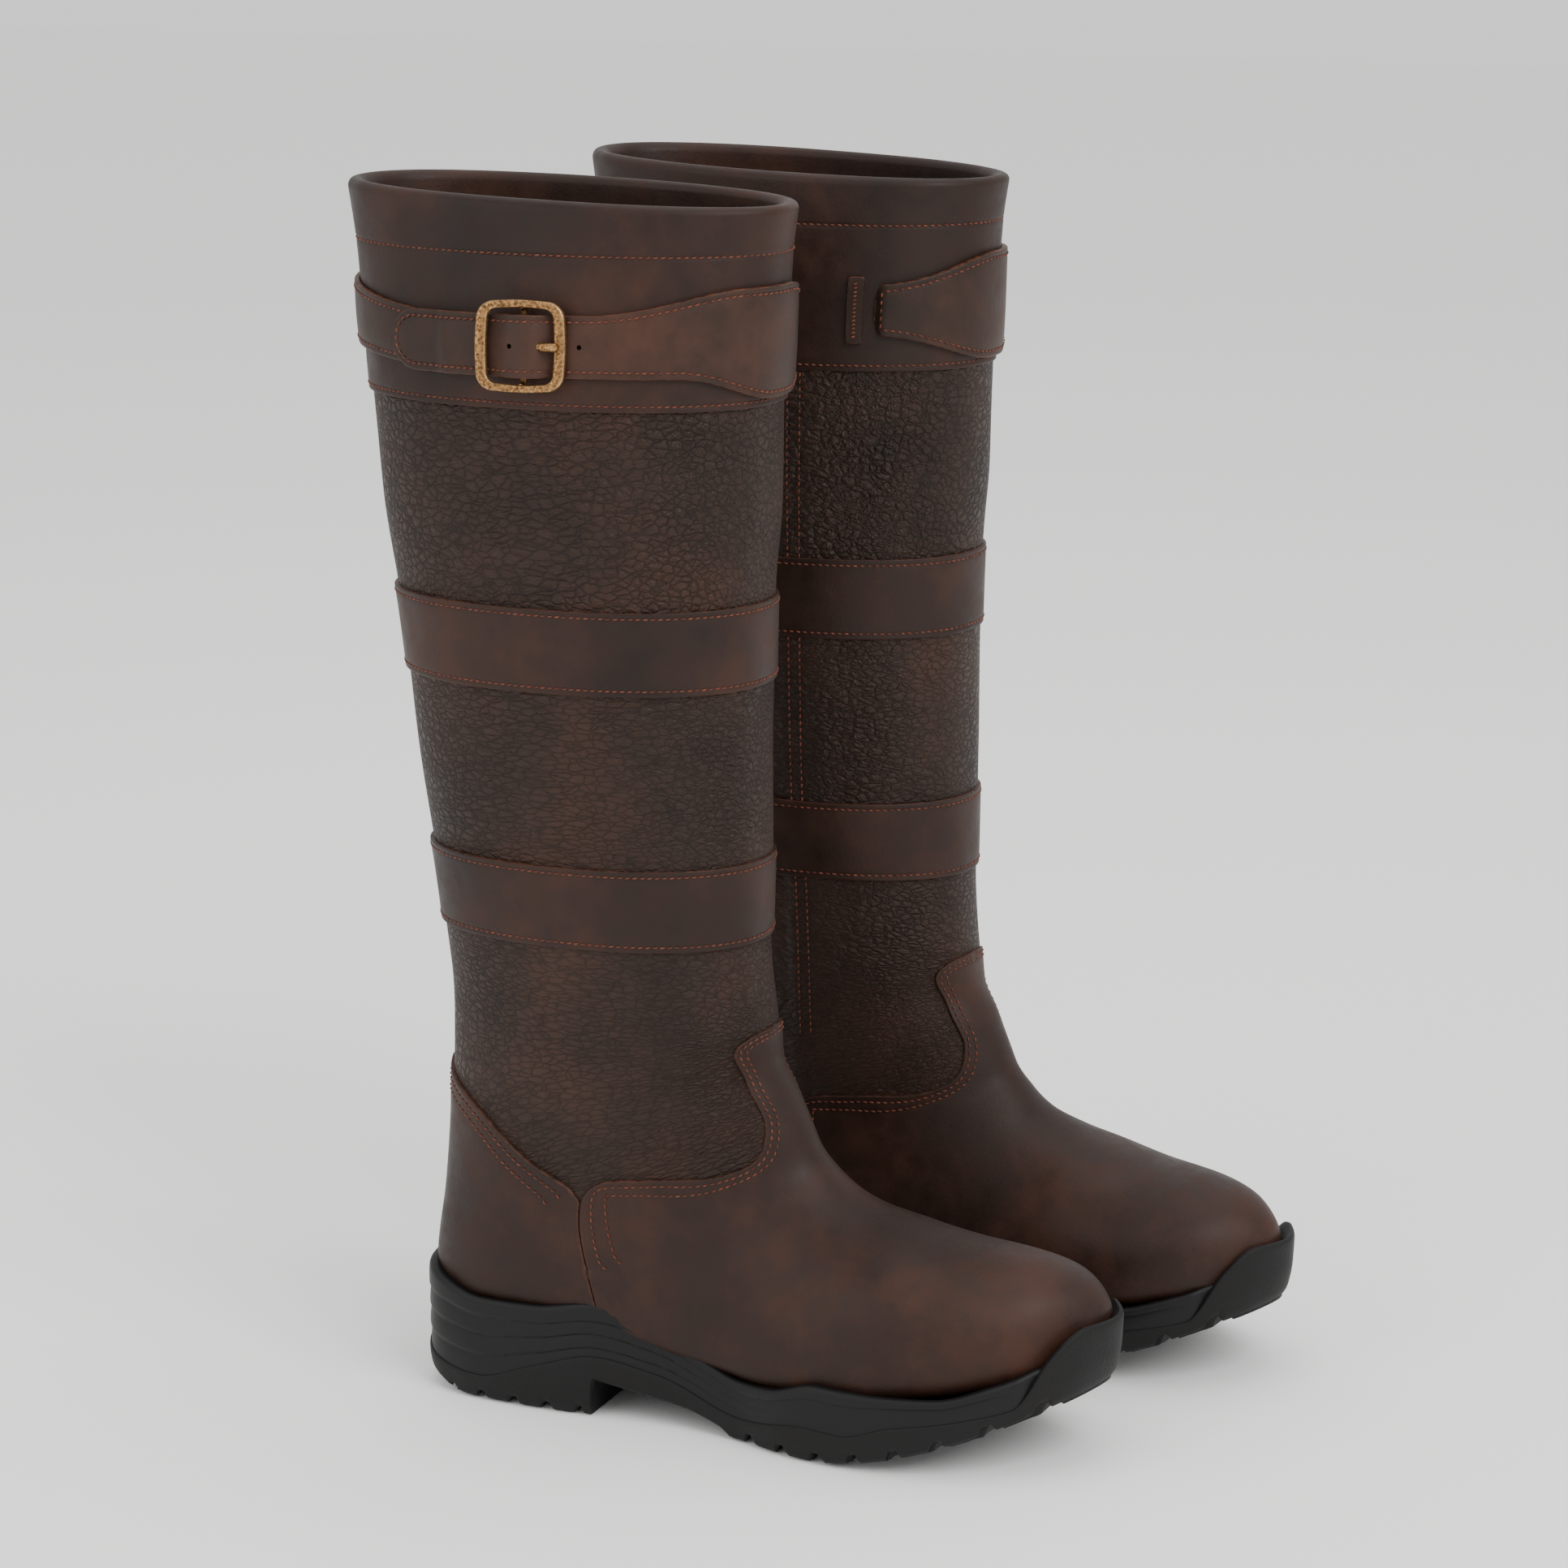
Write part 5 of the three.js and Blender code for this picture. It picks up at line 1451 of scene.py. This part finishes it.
    def buckle(self) -> None:
        """The cast frame with its pin, and the prong that rests on the front bar."""
        b, s = self.boot, self.sizes
        front, back = self.bar_heights()
        outer = self.contour(s.buckle_length, s.buckle_height, s.corner, 0.45)
        inner = self.contour(s.buckle_length - 2 * s.end_bar, s.buckle_height - 2 * s.rail,
                             s.corner - s.rail, 0.3)
        angle = np.linspace(0, 2 * math.pi, 20, endpoint=False)
        w = 0.5 + 0.5 * np.sign(np.cos(angle)) * np.abs(np.cos(angle)) ** 0.62
        h = np.sign(np.sin(angle)) * np.abs(np.sin(angle)) ** 0.7 * s.frame_thick / 2
        flat = inner[:, None] + (outer - inner)[:, None] * w[None, :, None]
        z = lerp(front, back, (flat[..., 0] + self.reach) / (2 * self.reach)) + h[None]
        grid = np.concatenate([flat, z[..., None]], 2)
        turned = self.frame_matrix()
        obj = hoop(b.name("buckle_frame_brass"), grid * MM)
        worn = np.tile(np.clip(np.sin(angle) * 0.2 + np.abs(np.cos(angle)) ** 3, 0, 1), (len(outer), 1))
        paint(obj, "edge", worn)
        obj.data.transform(turned)
        finish_mesh(obj, 60)
        rail = (s.buckle_height - s.rail) / 2
        mid = (front + back) / 2
        path = spline_through(np.array([
            [0, -rail, mid - 0.4], [0, -rail, self.pin_lift + 1.4], [0, -rail + 1.6, self.pin_lift],
            [0, 0, self.pin_lift], [0, rail - 1.6, self.pin_lift], [0, rail, self.pin_lift + 1.4],
            [0, rail, mid - 0.4]], float), 0.6)
        pin = self.tube(b.name("buckle_pin_brass"), path, np.full(len(path), s.pin), turned)
        deselect()
        pin.select_set(True)
        obj.select_set(True)
        bpy.context.view_layer.objects.active = obj
        bpy.ops.object.join()
        self.dress_brass(obj, "buckle", "buckle_frame")
        self.prong(front, turned)

    def tube(self, name: str, path: Array, radius: Array, turned: Matrix,
             flat: float = 1.0) -> bpy.types.Object:
        """A bar bent along a path in the buckle's frame.

        Args:
            name: its name.
            path: its middle line.
            radius: its radius at each point.
            turned: the buckle's frame.
            flat: its thickness as a share of its width.

        Returns:
            The object.
        """
        tangent = unit(np.gradient(path, axis=0))
        side = unit(np.cross(tangent, [1.0, 0, 0])) if abs(tangent[0][0]) < 0.5 else \
            unit(np.cross(tangent, [0, 0, 1.0]))
        other = np.cross(side, tangent)
        angle = np.linspace(0, 2 * math.pi, 14, endpoint=False)
        rings = (path[:, None] + radius[:, None, None] * (
            np.cos(angle)[None, :, None] * side[:, None]
            + flat * np.sin(angle)[None, :, None] * other[:, None]))
        obj = sleeve(name, rings * MM)
        paint(obj, "edge", np.full(len(obj.data.vertices), 0.25))
        obj.data.transform(turned)
        return finish_mesh(obj, 60)

    def prong(self, front: float, turned: Matrix) -> None:
        """The prong: hooked on the pin under the strap, its tip lying on the front bar."""
        b, s = self.boot, self.sizes
        tip = -s.buckle_length / 2 + 1.5
        rest = front + s.frame_thick / 2 + 1.0
        path = spline_through(np.array([
            [0.6, 0, self.pin_lift + 2.2], [-2, 0, self.pin_lift + 2.4],
            [-6, 0, lerp(self.pin_lift, rest, 0.75)],
            [-9.5, 0, rest - 0.1], [-12, 0, rest], [tip, 0, rest - 0.25]], float), 0.5)
        run = np.linspace(0, 1, len(path))
        radius = 1.65 * np.sqrt(np.clip(1 - np.clip((run - 0.9) / 0.1, 0, 1) ** 2, 0.05, 1))
        obj = self.tube(b.name("buckle_prong_brass"), path, radius, turned, 0.72)
        self.dress_brass(obj, "prong", "buckle_prong")

    def dress_brass(self, obj: bpy.types.Object, body: str, node: str) -> None:
        """Gives a brass piece its finish, its body and its node."""
        b = self.boot
        obj.data.materials.clear()
        obj.data.materials.append(b.finishes.get("brass"))
        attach(obj, b.name(body))
        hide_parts(b.name(node))

    def build(self) -> None:
        """Makes the straps, their thread and the buckle."""
        self.strap()
        self.under_strap()
        self.tab()
        self.buckle()


# ------------------------------------------------------------------ finishes


def tint(code: str) -> tuple[float, float, float, float]:
    """An sRGB hex colour as linear red, green, blue and alpha."""
    parts = [int(code[i:i + 2], 16) / 255 for i in (1, 3, 5)]
    linear = [c / 12.92 if c <= 0.04045 else ((c + 0.055) / 1.055) ** 2.4 for c in parts]
    return (linear[0], linear[1], linear[2], 1.0)


def per_metre(size_mm: float) -> float:
    """The pattern scale that makes its features this many millimetres across."""
    return 1000.0 / size_mm


class Graph:
    """One material and the nodes that drive its shader."""

    def __init__(self, name: str, ior: float, metallic: float = 0.0) -> None:
        """Starts a material.

        Args:
            name: the real material's name.
            ior: its index of refraction.
            metallic: 1 for bare metal.
        """
        self.material = bpy.data.materials.new(name)
        self.material.use_nodes = True
        self.tree = self.material.node_tree
        self.shader = self.tree.nodes["Principled BSDF"]
        sheen = 0.5 if metallic else 0.24
        for key, value in (("IOR", ior), ("Metallic", metallic), ("Specular IOR Level", sheen)):
            self.shader.inputs[key].default_value = value

    def add(self, kind: str, links: dict, out: object = 0, stops: Sequence[tuple[float, str]] = (),
            **settings: object) -> bpy.types.NodeSocket:
        """Adds a node.

        Args:
            kind: its type, without the leading ShaderNode.
            links: a value or a socket for each input.
            out: the output to hand back.
            stops: places and sRGB hex colours, for a colour ramp.
            **settings: its properties.

        Returns:
            The output.
        """
        made = self.tree.nodes.new("ShaderNode" + kind)
        for key, value in settings.items():
            setattr(made, key, value)
        if stops:
            elements = made.color_ramp.elements
            while len(elements) < len(stops):
                elements.new(0.5)
            for element, (place, code) in zip(elements, stops):
                element.position, element.color = place, tint(code)
        for key, value in links.items():
            if isinstance(value, bpy.types.NodeSocket):
                self.tree.links.new(value, made.inputs[key])
            else:
                made.inputs[key].default_value = value
        return made.outputs[out]

    def start(self, grains: Sequence[tuple[float, float, float]]) -> list[bpy.types.NodeSocket]:
        """The object's own coordinates, and a noise for each size, detail and roughness."""
        where = self.add("TexCoord", {}, "Object")
        return [where] + [
            self.add("TexNoise", {
                "Vector": where, "Scale": per_metre(size), "Detail": detail, "Roughness": rough})
            for size, detail, rough in grains]

    def finish(self, color: bpy.types.NodeSocket, rough: object, height: bpy.types.NodeSocket,
               strength: float, distance: float, under: Optional[bpy.types.NodeSocket] = None
               ) -> bpy.types.Material:
        """Joins colour, roughness and bump to the shader.

        Args:
            color: the base colour.
            rough: the roughness, a value or a socket.
            height: the relief.
            strength: the bump's strength.
            distance: the relief's depth, in metres.
            under: a normal that is already bumped.

        Returns:
            The material.
        """
        links = {"Height": height, "Strength": strength, "Distance": distance}
        if under is not None:
            links["Normal"] = under
        self.tree.links.new(color, self.shader.inputs["Base Color"])
        self.tree.links.new(self.add("Bump", links), self.shader.inputs["Normal"])
        if isinstance(rough, bpy.types.NodeSocket):
            self.tree.links.new(rough, self.shader.inputs["Roughness"])
        else:
            self.shader.inputs["Roughness"].default_value = rough
        return self.material


@dataclass(frozen=True)
class SmoothLeather:
    """Oiled pull-up hide: satin, cloudy, paler and redder where it has been stretched."""

    name: str = "oiled_pull_up_leather"
    dark: str = "#190e09"
    middle: str = "#27160f"
    light: str = "#3d2318"
    raw: str = "#5a3626"
    rough: tuple = (0.44, 0.6)

    def material(self) -> bpy.types.Material:
        """Makes the material."""
        g = Graph(self.name, 1.5)
        where, cloud, mottle, fuzz, grain = g.start(
            [(62, 3.0, 0.55), (9, 5.0, 0.6), (2.5, 3.0, 0.5), (1.6, 6.0, 0.7)])
        edge = g.add("Attribute", {}, "Fac", attribute_name="edge")
        large = g.add("Math", {0: cloud, 1: 0.68}, operation="MULTIPLY")
        both = g.add("Math", {0: mottle, 1: 0.32, 2: large}, operation="MULTIPLY_ADD")
        stops = [(0.3, self.dark), (0.49, self.middle), (0.72, self.light)]
        color = g.add("ValToRGB", {0: both}, stops=stops)
        fibres = g.add("MapRange", {0: fuzz, 1: 0.35, 2: 0.7, 3: 0.0, 4: 0.7})
        worn = g.add("Math", {0: edge, 1: fibres}, operation="MULTIPLY")
        base = g.add("Mix", {0: worn, 6: color, 7: tint(self.raw)}, 2, data_type="RGBA")
        rough = g.add("MapRange", {0: mottle, 1: 0.3, 2: 0.7, 3: self.rough[0], 4: self.rough[1]})
        pores = g.add("TexVoronoi", {"Vector": where, "Scale": per_metre(0.9)})
        fine = g.add("Math", {0: pores, 1: 0.4, 2: grain}, operation="MULTIPLY_ADD")
        height = g.add("Math", {0: mottle, 1: 1.2, 2: fine}, operation="MULTIPLY_ADD")
        return g.finish(base, rough, height, 0.32, 0.00028)


@dataclass(frozen=True)
class PebbledLeather:
    """Tumbled hide: rounded pebbles 2 to 3 mm across, with painted shade darkening the creases between them.
    """

    name: str
    turn: float
    stretch: float
    cell: float
    depth: float
    dark: str = "#1d110b"
    middle: str = "#2a1910"
    light: str = "#372116"
    raw: str = "#452b1e"

    def material(self) -> bpy.types.Material:
        """Makes the material."""
        g = Graph(self.name, 1.5)
        _, patchy, cloud, pores = g.start([(28, 2.0, 0.5), (48, 4.0, 0.6), (0.8, 4.0, 0.5)])
        edge = g.add("Attribute", {}, "Fac", attribute_name="edge")
        turned = g.add("Mapping", {
            "Vector": g.add("UVMap", {}), "Rotation": (0, 0, math.radians(self.turn)),
            "Scale": (1 / self.stretch, 1, 1)})
        drift = g.add("TexNoise", {"Vector": turned, "Scale": per_metre(7), "Detail": 3.0}, "Color")
        centred = g.add("VectorMath", {0: drift, 1: (0.5, 0.5, 0.5)}, operation="SUBTRACT")
        small = g.add("VectorMath", {0: centred, "Scale": 0.0032}, operation="SCALE")
        warped = g.add("VectorMath", {0: turned, 1: small}, operation="ADD")
        dome, tiny = (
            g.add("Math", {0: g.add("MapRange", {0: g.add(
                "TexVoronoi", {"Vector": warped, "Scale": per_metre(self.cell * share)}, "Distance",
                feature="DISTANCE_TO_EDGE"), 1: 0.0, 2: 0.4, 3: 0.0, 4: 1.0}), 1: power}, operation="POWER")
            for share, power in ((1, 0.7), (0.45, 0.6)))
        share = g.add("MapRange", {0: patchy, 1: 0.35, 2: 0.62, 3: 0.35, 4: 1.0})
        large = g.add("Math", {0: dome, 1: share}, operation="MULTIPLY")
        height = g.add("Math", {0: tiny, 1: 0.32, 2: large}, operation="MULTIPLY_ADD")
        stops = [(0.28, self.dark), (0.5, self.middle), (0.74, self.light)]
        color = g.add("ValToRGB", {0: cloud}, stops=stops)
        # painted shade: the colour is darkened to half in the hollow creases between the pebbles, where shade
        # falls
        crease = g.add("MapRange", {0: dome, 1: 0.05, 2: 0.45, 3: 0.5, 4: 1.0})
        shade = g.add("CombineColor", {0: crease, 1: crease, 2: crease})
        color_with_painted_shade = g.add("Mix", {0: 1.0, 6: color, 7: shade}, 2, data_type="RGBA", blend_type="MULTIPLY")
        base = g.add("Mix", {0: edge, 6: color_with_painted_shade, 7: tint(self.raw)}, 2, data_type="RGBA")
        rough = g.add("MapRange", {0: dome, 1: 0.0, 2: 1.0, 3: 0.62, 4: 0.4})
        bump = g.add("Bump", {"Height": height, "Strength": 0.9, "Distance": 0.001 * self.depth})
        return g.finish(base, rough, pores, 0.25, 0.00015, bump)


@dataclass(frozen=True)
class LiningLeather:
    """Unpolished lining hide: creased up and down where the shaft has been rolled."""

    name: str = "plain_lining_leather"

    def material(self) -> bpy.types.Material:
        """Makes the material."""
        g = Graph(self.name, 1.46)
        where, nap = g.start([(1, 5.0, 0.5)])
        tall = g.add("Mapping", {"Vector": where, "Scale": (1, 1, 0.22)})
        crease = g.add("TexNoise", {
            "Vector": tall, "Scale": per_metre(9), "Detail": 5.0, "Roughness": 0.62})
        color = g.add("ValToRGB", {0: crease}, stops=[(0.33, "#23160f"), (0.5, "#382419"), (0.68, "#523525")])
        height = g.add("Math", {0: nap, 1: 0.3, 2: crease}, operation="MULTIPLY_ADD")
        return g.finish(color, 0.66, height, 0.5, 0.0009)


@dataclass(frozen=True)
class MouldedRubber:
    """Black moulded rubber: satin where the mould was polished, stippled where it was blasted."""

    name: str
    base: str
    pale: str
    rough: tuple
    stipple_mm: float
    depth: float

    def material(self) -> bpy.types.Material:
        """Makes the material."""
        g = Graph(self.name, 1.52)
        _, dust, stipple = g.start([(26, 4.0, 0.5), (self.stipple_mm, 3.0, 0.65)])
        color = g.add("ValToRGB", {0: dust}, stops=[(0.35, self.base), (0.7, self.pale)])
        rough = g.add("MapRange", {0: dust, 1: 0.3, 2: 0.7, 3: self.rough[0], 4: self.rough[1]})
        return g.finish(color, rough, stipple, 0.6, self.depth * MM)


@dataclass(frozen=True)
class AntiqueBrass:
    """Cast brass with a dark tumbled patina, rubbed bright along its edges."""

    name: str = "antique_brass"

    def material(self) -> bpy.types.Material:
        """Makes the material."""
        g = Graph(self.name, 1.5, 1.0)
        _, speck = g.start([(1.1, 5.0, 0.7)])
        edge = g.add("Attribute", {}, "Fac", attribute_name="edge")
        patina = g.add("ValToRGB", {0: speck}, stops=[(0.4, "#3c2816"), (0.5, "#7c5632"), (0.64, "#a87c50")])
        bright = g.add("MapRange", {0: speck, 1: 0.35, 2: 0.6, 3: 0.25, 4: 0.9})
        rubbed = g.add("Math", {0: edge, 1: bright}, operation="MULTIPLY")
        base = g.add("Mix", {0: rubbed, 6: patina, 7: tint("#d9b27f")}, 2, data_type="RGBA")
        rough = g.add("MapRange", {0: speck, 1: 0.4, 2: 0.62, 3: 0.5, 4: 0.27})
        return g.finish(base, rough, speck, 0.35, 0.00012)


@dataclass(frozen=True)
class WaxedThread:
    """Waxed polyester thread, red-brown, with the twist just showing."""

    name: str = "waxed_thread"

    def material(self) -> bpy.types.Material:
        """Makes the material."""
        g = Graph(self.name, 1.5)
        where, shade = g.start([(3, 2.0, 0.5)])
        color = g.add("ValToRGB", {0: shade}, stops=[(0.3, "#43221a"), (0.7, "#6e3c2a")])
        twist = g.add(
            "TexWave", {"Vector": where, "Scale": per_metre(0.9)}, "Fac", bands_direction="DIAGONAL")
        return g.finish(color, 0.55, twist, 0.4, 0.0001)


@dataclass(frozen=True)
class PlainStock:
    """Board, foam or steel strip that is hidden inside the boot: even, faintly grained."""

    name: str
    base: str
    pale: str
    roughness: float
    ior: float = 1.5
    metallic: float = 0.0

    def material(self) -> bpy.types.Material:
        """Makes the material."""
        g = Graph(self.name, self.ior, self.metallic)
        _, fibre = g.start([(1.5, 4.0, 0.5)])
        color = g.add("ValToRGB", {0: fibre}, stops=[(0.35, self.base), (0.65, self.pale)])
        return g.finish(color, self.roughness, fibre, 0.3, 0.0002)


class Finishes:
    """Every finish of the boots, made once when it is first asked for."""

    KINDS = {
        "smooth": SmoothLeather(),
        "strap": SmoothLeather(
            "oiled_strap_leather", "#1d120c", "#2e1c14", "#462b1f", "#77452b", (0.42, 0.56)),
        "pebbled_upper": PebbledLeather("pebbled_leather_upper", 32, 1.5, 2.9, 1.1),
        "pebbled_middle": PebbledLeather("pebbled_leather_middle", 5, 2.0, 2.2, 0.8),
        "pebbled_lower": PebbledLeather("pebbled_leather_lower", -5, 2.2, 2.0, 0.65),
        "lining": LiningLeather(),
        "midsole": MouldedRubber("polished_rubber", "#090808", "#0e0d0d", (0.45, 0.58), 1.6, 0.06),
        "outsole": MouldedRubber("stippled_rubber", "#0a0909", "#110f0e", (0.55, 0.7), 1.1, 0.45),
        "brass": AntiqueBrass(),
        "thread": WaxedThread(),
        "board": PlainStock("pressed_leather_board", "#8f7a58", "#b09a74", 0.85),
        "sheet": PlainStock("heat_formed_sheet", "#b7ac93", "#cdc4ae", 0.7, 1.46),
        "foam": PlainStock("fabric_topped_foam", "#232325", "#333336", 0.95, 1.4),
        "steel": PlainStock("strip_steel", "#8a8d91", "#a7aaae", 0.35, 1.5, 1.0),
    }

    def __init__(self) -> None:
        """Starts with none made."""
        self.made: dict[str, bpy.types.Material] = {}

    def get(self, name: str) -> bpy.types.Material:
        """A finish by name."""
        if name not in self.made:
            self.made[name] = self.KINDS[name].material()
        return self.made[name]


# ------------------------------------------------------------------ studio


@dataclass(frozen=True)
class Studio:
    """A pale floor, soft lights and the camera."""

    lens: float = 104.8
    distance: float = 1718.5
    toward: tuple = (-0.90532, -0.36027, 0.22495)
    target: tuple = (45.2, -125.44, 231.58)

    def build(self, right: Placement) -> None:
        """Sets the studio up round the right boot's place.

        Args:
            right: where the right boot stands.
        """
        aim = right.origin + Vector(self.target) * MM
        aim.z = self.target[2] * MM
        eye = aim + Vector(self.toward) * self.distance * MM
        data = bpy.data.cameras.new("camera")
        data.lens, data.sensor_width = self.lens, 36.0
        camera = bpy.data.objects.new("camera", data)
        camera.location = eye
        camera.rotation_euler = (aim - eye).to_track_quat("-Z", "Y").to_euler()
        bpy.context.scene.collection.objects.link(camera)
        bpy.context.scene.camera = camera
        deselect()
        bpy.ops.mesh.primitive_plane_add(size=14, location=(0, 0, -0.0005))
        floor = bpy.context.object
        floor.name = "studio_floor"
        pale = Graph("pale_studio_floor", 1.45)
        pale.shader.inputs["Base Color"].default_value = tint("#fcfcfb")
        pale.shader.inputs["Roughness"].default_value = 0.9
        floor.data.materials.append(pale.material)
        world = bpy.data.worlds.new("studio")
        world.use_nodes = True
        world.node_tree.nodes["Background"].inputs[0].default_value = (1, 1, 1, 1)
        world.node_tree.nodes["Background"].inputs[1].default_value = 1.05
        bpy.context.scene.world = world
        ahead = Vector(self.toward)
        side = Vector((ahead.y, -ahead.x, 0)).normalized() * -1
        for name, sideways, back, up, size, power in (
                ("key", 1.1, 1.5, 1.5, 1.3, 34.0),
                ("fill", -1.6, 1.2, 0.9, 1.6, 12.0),
                ("top", 0.1, -0.3, 2.2, 1.8, 16.0)):
            light = bpy.data.lights.new(name, "AREA")
            light.energy, light.size = power, size
            lamp = bpy.data.objects.new(name, light)
            lamp.location = aim + side * sideways + Vector((ahead.x, ahead.y, 0)) * back + Vector((0, 0, up))
            lamp.rotation_euler = (aim - lamp.location).to_track_quat("-Z", "Y").to_euler()
            bpy.context.scene.collection.objects.link(lamp)


def dress_hidden(frame: dict, boot: Boot) -> None:
    """Gives the inner nodes that stay as they are their finishes."""
    for node, finish in (("shank", "steel"), ("insole_board", "board"), ("footbed", "foam")):
        obj = frame["nodes"][boot.name(node)]
        obj.data.materials.clear()
        obj.data.materials.append(boot.finishes.get(finish))


def main() -> None:
    """Builds both boots and the studio."""
    logging.basicConfig(level=logging.INFO, format="%(name)s: %(message)s")
    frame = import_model()
    finishes, last, stitches = Finishes(), Last(), Stitches()
    for side in Side:
        place = Placement(frame["record"], side)
        boot = Boot(side, last, Skin(last, 0.0 if side is Side.RIGHT else 1.3), place, stitches, finishes)
        Upper(boot).build()
        Sole(boot).build()
        straps = StrapAndBuckle(boot)
        straps.build()
        boot.dress(stitches.build(boot.name("stitching"), place), "thread", slot="thread")
        tail = straps.tail_thread()
        tail.data.materials.append(finishes.get("thread"))
        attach(tail, boot.name("tail"))
        dress_hidden(frame, boot)
        if side is Side.RIGHT:
            Studio().build(place)
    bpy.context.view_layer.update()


if __name__ == "__main__":
    main()
